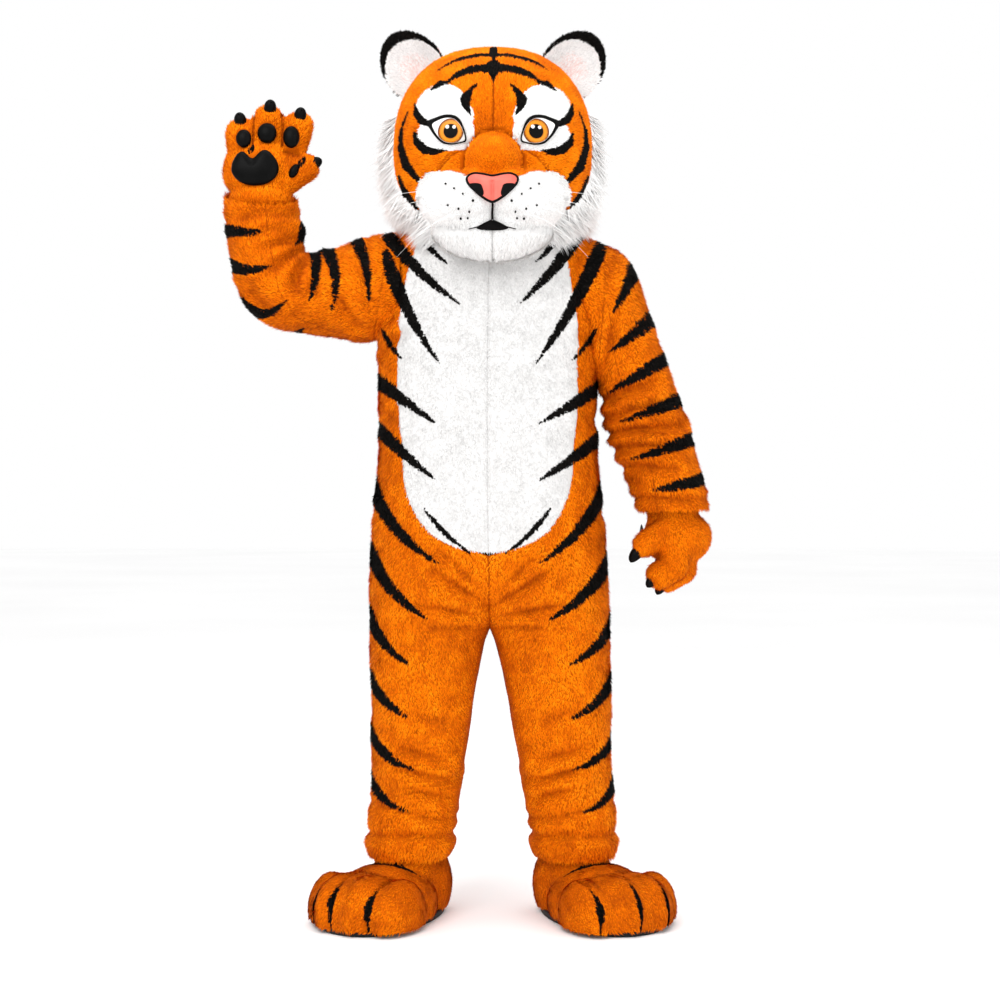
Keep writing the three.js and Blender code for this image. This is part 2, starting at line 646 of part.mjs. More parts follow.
// Everything on one side of the middle line, with half a seam.
function halfSpace(hand) {
  const size = 400;
  const box = new THREE.BoxGeometry(size, size, size);
  box.translate(hand * (size / 2 - SEAM / 2), HEAD.y - size / 2, muzzle.z);
  return solidOf(positionOnly(box));
}

// The eye patch's own room, so that the rim stands clear of it.
function eyePatchBlock(hand) {
  return eyePatch(hand).translate([0, -SEAM, 0]).add(eyePatch(hand));
}

// ---- mitts ----
const point = ([x, y, z]) => new THREE.Vector3(x, y, z);

function bone(from, to, radius, sides = 7) {
  const [a, b] = [point(from), point(to)];
  const way = b.clone().sub(a);
  const geometry = new THREE.CapsuleGeometry(radius, way.length(), 2, sides);
  geometry.applyQuaternion(new THREE.Quaternion().setFromUnitVectors(new THREE.Vector3(0, 1, 0), way.normalize()));
  geometry.translate(...a.add(b).multiplyScalar(0.5).toArray());
  return solidOf(positionOnly(geometry));
}

// Each mitt: its palm, its wrist from the palm down into the sleeve, and jointed fingers.
const raisedMitt = {
  palm: { x: -491, y: -22, z: 1594, wide: 84, deep: 54, high: 76 },
  wrist: { from: [-490, -18, 1570], to: [-490, -16, 1440], radius: 62 },
  fingers: [
    { name: "finger1", radius: 39, joints: [[-526, -18, 1625], [-531, -30, 1668]], claw: [-533, -60, 1702] },
    { name: "finger2", radius: 36, joints: [[-481, -18, 1638], [-476, -30, 1699]], claw: [-468, -60, 1729] },
    { name: "finger3", radius: 34, joints: [[-430, -18, 1632], [-412, -30, 1687]], claw: [-404, -58, 1713] },
    { name: "thumb", radius: 31, joints: [[-445, -28, 1566], [-396, -36, 1598]], claw: [-371, -44, 1610] },
  ],
  pads: [
    { name: "palm_pad", x: -498, y: -72, z: 1590, wide: 51, deep: 15, high: 37 },
    { name: "finger1_pad", x: -524, y: -64, z: 1656, wide: 17, deep: 10, high: 20 },
    { name: "finger2_pad", x: -475, y: -61, z: 1668, wide: 21, deep: 12, high: 22 },
    { name: "finger3_pad", x: -424, y: -59, z: 1660, wide: 18, deep: 12, high: 24 },
    { name: "thumb_pad", x: -418, y: -60, z: 1588, wide: 10, deep: 10, high: 17, roll: 30 },
  ],
};
const loweredMitt = {
  palm: { x: 397, y: -10, z: 812, wide: 75, deep: 70, high: 62 },
  wrist: { from: [390, -10, 830], to: [388, -10, 945], radius: 56 },
  fingers: [
    { name: "finger1", radius: 33, joints: [[398, -48, 790], [386, -58, 748], [359, -52, 733]], claw: [339, -62, 719] },
    { name: "finger2", radius: 33, joints: [[414, -8, 790], [408, -12, 742], [379, -8, 726]], claw: [362, -14, 704] },
    { name: "finger3", radius: 32, joints: [[414, 32, 795], [410, 34, 750], [382, 38, 738]], claw: [362, 36, 718] },
    { name: "thumb", radius: 29, joints: [[368, -50, 830], [326, -62, 797]], claw: [303, -66, 774] },
  ],
  pads: [
    { name: "palm_pad", x: 330, y: 10, z: 806, wide: 12, deep: 34, high: 33 },
    { name: "finger1_pad", x: 346, y: -48, z: 746, wide: 10, deep: 15, high: 14 },
    { name: "finger2_pad", x: 366, y: -4, z: 749, wide: 10, deep: 15, high: 13 },
    { name: "finger3_pad", x: 364, y: 40, z: 757, wide: 10, deep: 15, high: 13 },
    { name: "thumb_pad", x: 330, y: -37, z: 792, wide: 12, deep: 9, high: 11 },
  ],
};
const CLAW = { radius: 12.5, length: 20 };

// A blunt claw that stands out of its finger's end.
function clawSolid(finger, grow = 0) {
  const tip = point(finger.claw);
  const root = point(finger.joints[finger.joints.length - 1]);
  const way = tip.clone().sub(root).normalize();
  const geometry = new THREE.SphereGeometry(1, 8, 6);
  geometry.scale(CLAW.radius + grow, CLAW.length / 2 + 4 + grow, CLAW.radius + grow);
  geometry.applyQuaternion(new THREE.Quaternion().setFromUnitVectors(new THREE.Vector3(0, 1, 0), way));
  geometry.translate(tip.x, tip.y, tip.z);
  return solidOf(positionOnly(geometry));
}

function buildMitt(side, mitt) {
  const fingerBones = mitt.fingers.flatMap(({ joints, radius }) =>
    joints.slice(1).map((joint, i) => bone(joints[i], joint, radius)),
  );
  const { from, to, radius } = mitt.wrist;
  const hand = join(ball(mitt.palm, 0, 12, 7), bone(from, to, radius, 10), ...fingerBones);
  const past = point(to).sub(point(from)).multiplyScalar(1.6).add(point(from)).toArray();
  const room = join(ball(mitt.palm, -MITT_WALL, 10, 6), bone(from, past, radius - MITT_WALL, 10));
  const end = wristEnd(mitt.wrist);
  const body = cut(hand, room, end);
  addSolid(mitts, `mitt_${side}`, body, plush(ORANGE));
  for (const finger of mitt.fingers) {
    addSolid(mitts, `${finger.name}_claw_${side}`, cut(clawSolid(finger), grown(hand, mitt)), vinyl(BLACK));
  }
  for (const pad of mitt.pads) {
    addSolid(mitts, `${pad.name}_${side}`, cut(ball(pad, 0, 8, 6), grown(hand, mitt)), vinyl(BLACK));
  }
}

// A mitt's outer body grown by a seam.
function grown(hand, mitt) {
  const { palm } = mitt;
  const fingerBones = mitt.fingers.flatMap(({ joints, radius }) =>
    joints.slice(1).map((joint, i) => bone(joints[i], joint, radius + SEAM * 1.3)),
  );
  return join(hand, ball(palm, SEAM * 1.3, 12, 7), ...fingerBones);
}

// Takes the wrist's round end off, so that it opens into the sleeve.
function wristEnd({ from, to }) {
  const way = point(to).sub(point(from)).normalize();
  const size = 200;
  const box = new THREE.BoxGeometry(size, size, size);
  const middle = point(to).addScaledVector(way, size / 2 - 12);
  box.applyQuaternion(new THREE.Quaternion().setFromUnitVectors(new THREE.Vector3(0, 1, 0), way));
  box.translate(middle.x, middle.y, middle.z);
  return solidOf(positionOnly(box));
}

// ---- foot covers ----
// Shapes in the foot's own frame: x across, towards its outer side, y towards the heel.
const footBalls = [
  { x: 0, y: 25, z: 66, wide: 80, deep: 82, high: 72 },
  { x: 2, y: -74, z: 58, wide: 108, deep: 118, high: 66 },
  { x: -78, y: -172, z: 54, wide: 42, deep: 76, high: 60 },
  { x: -27, y: -190, z: 57, wide: 39, deep: 82, high: 64 },
  { x: 28, y: -188, z: 57, wide: 39, deep: 80, high: 63 },
  { x: 80, y: -166, z: 53, wide: 42, deep: 74, high: 58 },
];
const footRoom = [
  { x: 0, y: 22, z: 62, wide: 62, deep: 66, high: 60 },
  { x: 0, y: -75, z: 52, wide: 82, deep: 118, high: 50 },
];
const ANKLE = { x: -8, y: -18, radius: 66, top: 178 };
const FOOT_TURN = 30;
const FOOT_X = 180;
const FOOT_Y = 20;
const SOLE_OUTLINE = { toe: -252, heel: 92, toeHalf: 104, heelHalf: 62 };

const tube = (radius, low, high, sides) => {
  const geometry = new THREE.CylinderGeometry(radius, radius, high - low, sides);
  geometry.rotateX(Math.PI / 2);
  geometry.translate(ANKLE.x, ANKLE.y, (low + high) / 2);
  return solidOf(positionOnly(geometry));
};

// An egg-shaped outline, wide at the toes.
function soleSolid() {
  const { toe, heel, toeHalf, heelHalf } = SOLE_OUTLINE;
  const outline = steps(0, 23, 23).map((i) => {
    const turn = (i / 24) * 2 * Math.PI;
    const share = (1 - Math.cos(turn)) / 2;
    const half = heelHalf + (toeHalf - heelHalf) * Math.sqrt(share);
    const y = heel + (toe - heel) * share;
    return new THREE.Vector2(half * signedPower(Math.sin(turn), 0.75), y);
  });
  const geometry = new THREE.ExtrudeGeometry(new THREE.Shape(outline), {
    depth: SOLE - SEAM,
    bevelEnabled: false,
  });
  return solidOf(positionOnly(geometry));
}

function placedFoot(solid, hand) {
  const outward = hand > 0 ? solid : solid.mirror([1, 0, 0]);
  return outward.rotate([0, 0, hand * FOOT_TURN]).translate([hand * FOOT_X + 2, FOOT_Y, 0]);
}

function buildFeet() {
  const ground = new THREE.BoxGeometry(900, 900, 400);
  ground.translate(0, 0, SOLE - 200);
  const low = solidOf(positionOnly(ground));
  const shape = join(...footBalls.map((part) => ball(part, 0, 10, 6)), tube(ANKLE.radius, 40, ANKLE.top, 12));
  const room = join(
    ...footRoom.map((part) => ball(part, 0, 8, 5)),
    tube(ANKLE.radius - FOAM + 2, 40, ANKLE.top + 20, 10),
  );
  for (const [name, hand] of [["left", 1], ["right", -1]]) {
    addSolid(feet, `foot_${name}`, placedFoot(cut(shape, room, low), hand), plush(ORANGE));
    addSolid(feet, `sole_${name}`, placedFoot(soleSolid(), hand), vinyl(BLACK));
  }
}

buildSuit();
buildHead();
buildMitt("right", raisedMitt);
buildMitt("left", loweredMitt);
buildFeet();

export default costume;
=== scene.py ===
import itertools
import math

import bmesh
import bpy
import numpy as np
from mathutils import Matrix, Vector
from mathutils.bvhtree import BVHTree


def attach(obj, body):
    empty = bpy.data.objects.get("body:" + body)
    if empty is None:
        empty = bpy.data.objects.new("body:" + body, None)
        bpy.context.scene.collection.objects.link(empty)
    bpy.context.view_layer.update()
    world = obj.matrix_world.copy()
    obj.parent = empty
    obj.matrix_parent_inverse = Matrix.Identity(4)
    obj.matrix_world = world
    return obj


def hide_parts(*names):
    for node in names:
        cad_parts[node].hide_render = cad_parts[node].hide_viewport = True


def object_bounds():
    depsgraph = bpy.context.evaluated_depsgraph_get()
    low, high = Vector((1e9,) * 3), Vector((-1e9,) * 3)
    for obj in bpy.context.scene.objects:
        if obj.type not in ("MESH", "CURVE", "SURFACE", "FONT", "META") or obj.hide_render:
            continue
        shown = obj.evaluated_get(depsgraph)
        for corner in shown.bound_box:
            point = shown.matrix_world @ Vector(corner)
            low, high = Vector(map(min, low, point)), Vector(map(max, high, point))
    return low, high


# A tiger mascot costume, worn and waving: plush suit, foam head, mitts and foot covers.
# Sizes are millimetres and heights are above the ground. The front faces -Y.
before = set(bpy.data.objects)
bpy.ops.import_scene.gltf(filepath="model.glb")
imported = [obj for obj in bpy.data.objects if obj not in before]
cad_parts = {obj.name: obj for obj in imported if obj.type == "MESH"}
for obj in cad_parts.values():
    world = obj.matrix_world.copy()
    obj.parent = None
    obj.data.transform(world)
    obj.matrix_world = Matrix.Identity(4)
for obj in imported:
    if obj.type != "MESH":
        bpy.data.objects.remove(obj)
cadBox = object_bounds()
ground = cadBox[0][2]
scene = bpy.context.scene
print("frame loaded, ground at", round(ground, 4))

# Camera
view = {"x": 18.3, "y": -4000, "z": 891, "focal": 66.96}


def toFrame(points):
    return np.asarray(points, float) * 0.001 + np.array([0, 0, ground])


camera = bpy.data.objects.new("camera", bpy.data.cameras.new("camera"))
scene.collection.objects.link(camera)
camera.location = toFrame([view["x"], view["y"], view["z"]])
camera.rotation_euler = (math.pi / 2, 0, 0)
camera.data.lens = view["focal"]
camera.data.sensor_width = 36
scene.camera = camera


# Colours and finishes
def tone(code):
    # a display colour such as "e8780f", as the shader's own numbers
    parts = [int(code[i:i + 2], 16) / 255 for i in (0, 2, 4)]
    return [c / 12.92 if c < 0.04045 else ((c + 0.055) / 1.055) ** 2.4 for c in parts] + [1]


def newMaterial(name, roughness, gloss, coat=0.0):
    material = bpy.data.materials.new(name)
    material.use_nodes = True
    shader = material.node_tree.nodes["Principled BSDF"]
    shader.inputs["Roughness"].default_value = roughness
    shader.inputs["Specular IOR Level"].default_value = gloss
    shader.inputs["Coat Weight"].default_value = coat
    return material, shader


def addNode(tree, kind, operation=None, **values):
    # a shader node, with the inputs that are named set to their values
    node = tree.nodes.new("ShaderNode" + kind)
    if operation:
        node.operation = operation
    for name, value in values.items():
        node.inputs[name].default_value = value
    return node


def wire(tree, *links):
    for source, output, target, entry in links:
        tree.links.new(source.outputs[output], target.inputs[entry])


def strandPaints(name, codes):
    paints = []
    for i, code in enumerate(codes):
        material, shader = newMaterial("%sStrand%d" % (name, i), 0.9, 0.08)
        shader.inputs["Base Color"].default_value = tone(code)
        paints.append(material)
    return paints


def mottled(name, codes, size, roughness, coat=0.0, bump=0.3, grain=900, gloss=0.3):
    # two tones that drift into each other over about size metres, with a fine bumpy grain
    material, shader = newMaterial(name, roughness, gloss, coat)
    tree = material.node_tree
    place = addNode(tree, "TexCoord")
    drift = addNode(tree, "TexNoise", Scale=1 / size, Detail=6)
    ramp = addNode(tree, "ValToRGB")
    for stop, position, code in zip(ramp.color_ramp.elements, (0.32, 0.68), codes):
        stop.position = position
        stop.color = tone(code)
    fine = addNode(tree, "TexNoise", Scale=grain)
    raised = addNode(tree, "Bump", Strength=bump, Distance=0.001)
    wire(tree, (place, "Object", drift, "Vector"), (place, "Object", fine, "Vector"),
         (drift, "Fac", ramp, "Fac"), (ramp, "Color", shader, "Base Color"),
         (fine, "Fac", raised, "Height"), (raised, "Normal", shader, "Normal"))
    return material


orangeStrands = strandPaints("orange", ["ac4800", "ce5d00", "e26d00", "ef7b00", "f98b08"])
blackStrands = strandPaints("black", ["070605", "14110f"])
whiteStrands = strandPaints("white", ["cccbca", "d9d8d7", "e7e6e5", "f4f3f2"])
pinkStrands = strandPaints("pink", ["e6c6c0", "efd8d4"])
strands = orangeStrands + blackStrands + whiteStrands + pinkStrands
blackFirst, whiteFirst, pinkFirst = 5, 7, 11

orangeBacking, blackBacking, whiteBacking, pinkBacking = (
    mottled(name, codes, size, 0.9, bump=bump, grain=500, gloss=0.05) for name, codes, size, bump in (
        ("orangeBacking", ["a84a00", "c65a00"], 0.03, 0.6),
        ("blackBacking", ["060505", "100e0c"], 0.03, 0.6),
        ("whiteBacking", ["d2d1d0", "dddcdb"], 0.04, 0.5),
        ("pinkBacking", ["e6cfca", "ecdedb"], 0.04, 0.5)))
backings = [orangeBacking, blackBacking, whiteBacking, pinkBacking]
vinylBlack = mottled("vinylBlack", ["040404", "080808"], 0.02, 0.4, bump=0.05, grain=300, gloss=0.06)
soleRubber = mottled("soleRubber", ["0b0b0b", "191919"], 0.01, 0.7, bump=0.5, grain=700)
nosePink = mottled("nosePink", ["cf5a4e", "dd6e60"], 0.03, 0.45, bump=0.1, grain=600, gloss=0.25)
noseLine = mottled("noseLine", ["040404", "0a0a0a"], 0.02, 0.8, bump=0.1, grain=600, gloss=0.1)
mouthBlack = mottled("mouthBlack", ["070606", "100d0d"], 0.02, 0.8, bump=0.2, grain=600, gloss=0.05)
eyeWhite = mottled("eyeWhite", ["dcd8d4", "eae8e6"], 0.03, 0.2, bump=0.0, gloss=0.25)
whiskerNylon = mottled("whiskerNylon", ["f2f2f0", "ffffff"], 0.02, 0.25, coat=0.3, bump=0.0)
print("materials made")


# Numbers
def unit(vectors):
    return vectors / np.maximum(np.linalg.norm(vectors, axis=-1, keepdims=True), 1e-9)


def cloud(points, size, seed):
    # smooth random values from -1 to 1 that change over about size millimetres
    cells = points / size + seed * 17.31
    low = np.floor(cells)
    part = cells - low
    part = part * part * (3 - 2 * part)
    total = np.zeros(len(points))
    for corner in np.ndindex(2, 2, 2):
        spot = low + corner
        value = np.sin(spot @ np.array([12.9898, 78.233, 37.719])) * 43758.5453
        weight = np.prod(np.where(np.array(corner) == 1, part, 1 - part), axis=1)
        total += (value - np.floor(value)) * weight
    return total * 2 - 1


def smoothAt(rows, key, place, at="z"):
    # a smooth line through a table's rows
    where = np.array([row[at] for row in rows], float)
    value = np.array([row[key] for row in rows], float)
    slope = np.gradient(value, where)
    place = np.clip(place, where[0], where[-1])
    i = np.clip(np.searchsorted(where, place) - 1, 0, len(where) - 2)
    gap = where[i + 1] - where[i]
    t = (place - where[i]) / gap
    return ((1 + 2 * t) * (1 - t) ** 2 * value[i] + t * (1 - t) ** 2 * gap * slope[i]
            + t * t * (3 - 2 * t) * value[i + 1] + t * t * (t - 1) * gap * slope[i + 1])


def turned(a, b, angle):
    return a * math.cos(angle) - b * math.sin(angle), a * math.sin(angle) + b * math.cos(angle)


def table(columns, rows):
    # rows of numbers under named columns
    return [dict(zip(columns.split(), row)) for row in rows]


def seamLine(places, half=0):
    # a line through places of x and z
    return [{"x": x, "z": z, "half": half} for x, z in places]


def signedPower(value, power):
    return np.sign(value) * np.abs(value) ** power


# Meshes. A skin is a dictionary of points, faces and outward normals.
def makeMesh(name, skin, materials, wear=None, ownNormals=False):
    points, faces = toFrame(skin["points"]), np.asarray(skin["faces"], np.int32)
    corners = faces.shape[1]
    mesh = bpy.data.meshes.new(name)
    mesh.vertices.add(len(points))
    mesh.vertices.foreach_set("co", points.astype(np.float32).ravel())
    mesh.loops.add(faces.size)
    mesh.loops.foreach_set("vertex_index", faces.ravel())
    mesh.polygons.add(len(faces))
    mesh.polygons.foreach_set("loop_start", np.arange(0, faces.size, corners, dtype=np.int32))
    for material in materials:
        mesh.materials.append(material)
    if wear is not None:
        mesh.polygons.foreach_set("material_index", np.asarray(wear, np.int32))
    mesh.update(calc_edges=True)
    mesh.polygons.foreach_set("use_smooth", np.ones(len(faces), bool))
    if ownNormals:
        mesh.normals_split_custom_set_from_vertices(skin["normals"].astype(np.float32))
    piece = bpy.data.objects.new(name, mesh)
    scene.collection.objects.link(piece)
    return piece


def addPiece(name, skin, materials, nodes=(), wear=None, thick=0, ownNormals=False):
    piece = makeMesh(name, skin, materials, wear, ownNormals)
    if thick:
        wall = piece.modifiers.new("wall", "SOLIDIFY")
        wall.thickness = thick * 0.001
        wall.offset = -1
    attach(piece, "root")
    if nodes:
        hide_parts(*nodes)
    return piece


def gridSkin(points, inside, closed=False):
    # inside is a point within the form for each point of the grid
    across = np.roll(points, -1, 1) - np.roll(points, 1, 1) if closed else np.gradient(points, axis=1)
    normals = unit(np.cross(across, np.gradient(points, axis=0)))
    index = np.arange(points.shape[0] * points.shape[1]).reshape(points.shape[:2])
    if closed:
        index = np.hstack([index, index[:, :1]])
    corners = [index[:-1, :-1], index[:-1, 1:], index[1:, 1:], index[1:, :-1]]
    faces = np.stack(corners, -1).reshape(-1, 4)
    if np.sum(normals * (points - inside)) < 0:
        normals, faces = -normals, faces[:, ::-1]
    return {"points": points.reshape(-1, 3), "faces": faces, "normals": normals.reshape(-1, 3)}


def kept(skin, keep):
    # the skin with only the faces that are kept
    faces = skin["faces"][keep]
    used, renamed = np.unique(faces, return_inverse=True)
    return {"points": skin["points"][used], "faces": renamed.reshape(faces.shape),
            "normals": skin["normals"][used]}


def middles(skin):
    return skin["points"][skin["faces"]].mean(axis=1)


def triangled(skin):
    faces = skin["faces"]
    if faces.shape[1] == 4:
        faces = np.vstack([faces[:, [0, 1, 2]], faces[:, [0, 2, 3]]])
    return faces


def doubleAreas(corners):
    return np.linalg.norm(np.cross(corners[:, 1] - corners[:, 0], corners[:, 2] - corners[:, 0]), axis=1)


def area(skin):
    # in square metres
    return float(np.sum(doubleAreas(skin["points"][triangled(skin)]))) / 2e6


def roundSkin(bodies, cell, rounds, fine=4):
    # one smooth skin over overlapping egg shapes
    ball = bmesh.new()
    bmesh.ops.create_icosphere(ball, subdivisions=fine, radius=1)
    sphere = np.array([v.co for v in ball.verts])
    triangles = np.array([[v.index for v in f.verts] for f in ball.faces])
    ball.free()
    points, faces = [], []
    for body in bodies:
        power = body.get("square", 2)
        shape = sphere / (np.sum(np.abs(sphere) ** power, axis=1, keepdims=True) ** (1 / power))
        shape = shape * [body["wide"], body["deep"], body["high"]]
        x, z = turned(shape[:, 0], shape[:, 2], -math.radians(body.get("lean", 0)))
        shape = np.stack([x, shape[:, 1], z], 1)
        faces.append(triangles + len(sphere) * len(points))
        points.append(shape + [body["x"], body["y"], body["z"]])
    skin = {"points": np.vstack(points), "faces": np.vstack(faces)}
    draft = makeMesh("draft", skin, [])
    weld = draft.modifiers.new("weld", "REMESH")
    weld.mode = "VOXEL"
    weld.voxel_size = cell * 0.001
    soften = draft.modifiers.new("soften", "SMOOTH")
    soften.factor = 0.5
    soften.iterations = rounds
    done = draft.evaluated_get(bpy.context.evaluated_depsgraph_get()).to_mesh()
    points = np.empty(len(done.vertices) * 3, np.float32)
    done.vertices.foreach_get("co", points)
    normals = np.empty(len(done.vertices) * 3, np.float32)
    done.vertices.foreach_get("normal", normals)
    faces = np.array([tuple(f.vertices) for f in done.polygons if len(f.vertices) == 4])
    mesh = draft.data
    bpy.data.objects.remove(draft)
    bpy.data.meshes.remove(mesh)
    points = (points.reshape(-1, 3).astype(float) - [0, 0, ground]) * 1000
    return {"points": points, "faces": faces, "normals": normals.reshape(-1, 3).astype(float)}


def bone(joints, radii, step=0.35):
    # balls along a jointed finger
    balls = []
    for a, b, ra, rb in zip(joints[:-1], joints[1:], radii[:-1], radii[1:]):
        a, b = np.array(a, float), np.array(b, float)
        count = max(2, int(np.linalg.norm(b - a) / (step * min(ra, rb))) + 1)
        for share in np.linspace(0, 1, count):
            x, y, z = a + (b - a) * share
            r = ra + (rb - ra) * share
            balls.append({"x": x, "y": y, "z": z, "wide": r, "deep": r, "high": r})
    return balls


# Fur
def growFur(name, skin, look, comb, shade, seed):
    # one narrow blade for each strand, colour by shade, laid in the way that comb gives
    rng = np.random.default_rng(seed)
    faces = triangled(skin)
    corners = skin["points"][faces]
    size = doubleAreas(corners)
    count = look["count"]
    pick = np.searchsorted(np.cumsum(size) / np.sum(size), rng.random(count)).clip(0, len(faces) - 1)
    u, v = rng.random(count), rng.random(count)
    flip = u + v > 1
    u[flip], v[flip] = 1 - u[flip], 1 - v[flip]
    share = np.stack([1 - u - v, u, v], 1)[:, :, None]
    root = np.sum(corners[pick] * share, axis=1)
    normal = unit(np.sum(skin["normals"][faces][pick] * share, axis=1))
    way = comb(root)
    way = way - normal * np.sum(way * normal, axis=1, keepdims=True)
    way = unit(way)
    cross = np.cross(normal, way)
    tuft = look.get("tuft", 26)
    swing = np.radians(look.get("swing", 24)) * cloud(root, tuft, seed) + np.radians(
        look.get("stray", 16)) * rng.standard_normal(count)
    way, cross = (way * np.cos(swing)[:, None] + cross * np.sin(swing)[:, None],
                  cross * np.cos(swing)[:, None] - way * np.sin(swing)[:, None])
    lift = np.radians(look["lift"] + look.get("liftStray", 9) * rng.standard_normal(count)
                      + 8 * cloud(root, tuft * 0.6, seed + 1)).clip(0.08, 1.4)
    long = look["long"] * (0.72 + 0.4 * rng.random(count)) * (1 + 0.18 * cloud(root, tuft, seed + 2))
    half = look["wide"] / 2 * (0.75 + 0.5 * rng.random(count))
    if look.get("bare"):
        # no strand grows or lies over a pad
        free = np.ones(count, bool)
        for pad in look["bare"]:
            for spot in (root, root + way * long[:, None]):
                out = (spot - [pad["x"], pad["y"], pad["z"]]) / [pad["wide"], pad["deep"] + 6, pad["high"]]
                free &= np.sum(out * out, axis=1) > 1.0
        root, normal, way, cross = root[free], normal[free], way[free], cross[free]
        lift, long, half = lift[free], long[free], half[free]
        count = len(root)
    if look.get("trim"):
        long = long * look["trim"](root)
    tip = root + (way * np.cos(lift)[:, None] + normal * np.sin(lift)[:, None]) * long[:, None]
    wear = shade(root * 0.5 + tip * 0.5, rng)
    half = half * np.where((wear >= blackFirst) & (wear < whiteFirst), look.get("ink", 1.9), 1)
    foot = root - normal * 0.6
    points = np.stack([foot + cross * half[:, None], foot - cross * half[:, None], tip], 1)
    bladeNormal = normal * np.cos(lift)[:, None] - way * np.sin(lift)[:, None]
    shine = unit(normal + look.get("relief", 0.45) * bladeNormal + 0.22 * rng.standard_normal((count, 3)))
    blades = {"points": points.reshape(-1, 3), "faces": np.arange(count * 3).reshape(-1, 3),
              "normals": np.repeat(shine, 3, axis=0)}
    if look.get("folded"):
        # a strand folded along its length shows a lit face from every side
        ridge = foot + (normal * 0.5 + bladeNormal * 0.5) * half[:, None] * 1.6
        points = np.stack([points[:, 0], ridge, tip, ridge, points[:, 1], tip], 1)
        sides = np.stack([shine + cross * 0.8, shine - cross * 0.8], 1)
        blades = {"points": points.reshape(-1, 3), "faces": np.arange(count * 6).reshape(-1, 3),
                  "normals": np.repeat(unit(sides.reshape(-1, 3)), 3, axis=0)}
    used, wear = np.unique(wear, return_inverse=True)
    wear = np.repeat(wear, 2) if look.get("folded") else wear
    return addPiece(name, blades, [strands[i] for i in used], wear=wear, ownNormals=True)


def orangeShade(root, rng, seed=5, level=2.4):
    drift = 1.1 * cloud(root, 22, seed) + 0.8 * cloud(root, 70, seed + 1)
    return np.clip(np.round(level + drift + 0.7 * rng.standard_normal(len(root))), 0, 4).astype(int)


def blackShade(root, rng):
    return blackFirst + (rng.random(len(root)) < 0.3).astype(int)


def whiteShade(root, rng, level=2.5):
    drift = 0.25 * cloud(root, 24, 9)
    step = np.round(level + drift + 0.5 * rng.standard_normal(len(root)))
    return whiteFirst + np.clip(step, 0, 3).astype(int)


def strokeGap(places, stroke):
    # how far inside a painted stroke each place is, in millimetres; below 0 is outside
    line = np.array([[p["x"], p["z"]] for p in stroke], float)
    half = np.array([p["half"] for p in stroke], float)
    reach = half.max() + 2
    near = np.all((places > line.min(0) - reach) & (places < line.max(0) + reach), axis=1)
    best = np.full(len(places), -99.0)
    inside = places[near]
    found = np.full(len(inside), -99.0)
    for a, b, ha, hb in zip(line[:-1], line[1:], half[:-1], half[1:]):
        along = b - a
        t = np.clip((inside - a) @ along / max(along @ along, 1e-6), 0, 1)
        away = np.linalg.norm(inside - a - t[:, None] * along, axis=1)
        found = np.maximum(found, ha + (hb - ha) * t - away)
    best[near] = found
    return best


def bowed(baseX, baseZ, tipX, tipZ, wide, bow, start=1.0, count=14):
    # a stroke from its base to a fine tip, which bulges by bow to its own left
    # start is the share of its width at the base
    long = math.hypot(tipX - baseX, tipZ - baseZ)
    stroke = []
    for t in np.linspace(0, 1, count):
        full = min(1, start + 2.4 * t) * (1 - t ** 1.5) ** 0.85
        side = bow * 4 * t * (1 - t) / long
        stroke.append({"x": baseX + (tipX - baseX) * t - (tipZ - baseZ) * side, "half": wide / 2 * full,
                       "z": baseZ + (tipZ - baseZ) * t + (tipX - baseX) * side})
    return stroke


def inkDepth(places, strokes):
    # how deep each place lies in the strokes
    gaps = [strokeGap(places, stroke) for stroke in strokes]
    return np.max([np.full(len(places), -99.0)] + gaps, axis=0)


def bowedStrokes(*rows):
    return [bowed(*row) for row in rows]


# Suit: body and legs
bodyRows = table("z mid side gap merge depth back", [
    (128, 2, 262, 90, 1, 86, 6), (142, 2, 268, 82, 1, 94, 6), (162, 2, 270, 79, 1, 97, 6),
    (182, 2, 263, 84, 1, 92, 6), (205, 2, 265, 77, 1, 97, 6), (260, 1, 259, 72, 1, 95, 6),
    (371, 0, 257, 51, 1, 106, 6), (525, -2, 256, 25, 1, 122, 6), (622, -4, 257, 4, 1, 136, 6),
    (640, -4, 257, 0, 0.93, 139, 6), (680, -5, 256, 0, 0.72, 146, 6), (730, -5, 254, 0, 0.42, 152, 7),
    (790, -6, 250, 0, 0.15, 157, 8), (850, -7, 245, 0, 0, 160, 9), (1016, -8, 233, 0, 0, 163, 11),
    (1180, -8, 236, 0, 0, 155, 12), (1260, -7, 238, 0, 0, 150, 13), (1340, -6, 237, 0, 0, 145, 14),
    (1400, -4, 232, 0, 0, 136, 15), (1447, -2, 216, 0, 0, 122, 15), (1465, -1, 194, 0, 0, 114, 15),
    (1480, 0, 167, 0, 0, 106, 15), (1490, 0, 148, 0, 0, 100, 15), (1500, 0, 122, 0, 0, 95, 15),
    (1520, 0, 108, 0, 0, 92, 15)])
bellyRows = table("z half", [
    (781, 0), (785, 34), (792, 60), (810, 101), (850, 143), (890, 164), (1016, 181), (1180, 190),
    (1260, 186), (1340, 175), (1400, 162), (1447, 142), (1480, 108), (1500, 80), (1520, 75)])
suitLook = {"cloth": 3, "seam": 0.3, "squareness": 0.86, "hem": 128, "neck": 1520, "bellyLow": 781,
            "zipLow": 890, "zipHalf": 4, "across": 26, "step": 9}


def bodyRow(z):
    row = {key: smoothAt(bodyRows, key, z) for key in ("mid", "side", "gap", "depth", "back")}
    row["merge"] = np.clip(smoothAt(bodyRows, "merge", z), 0, 1)
    row["gap"] = np.maximum(row["gap"], 0)
    row["radius"] = (row["side"] - row["gap"]) / (1 + row["merge"])
    row["centre"] = row["side"] - row["radius"]
    return row


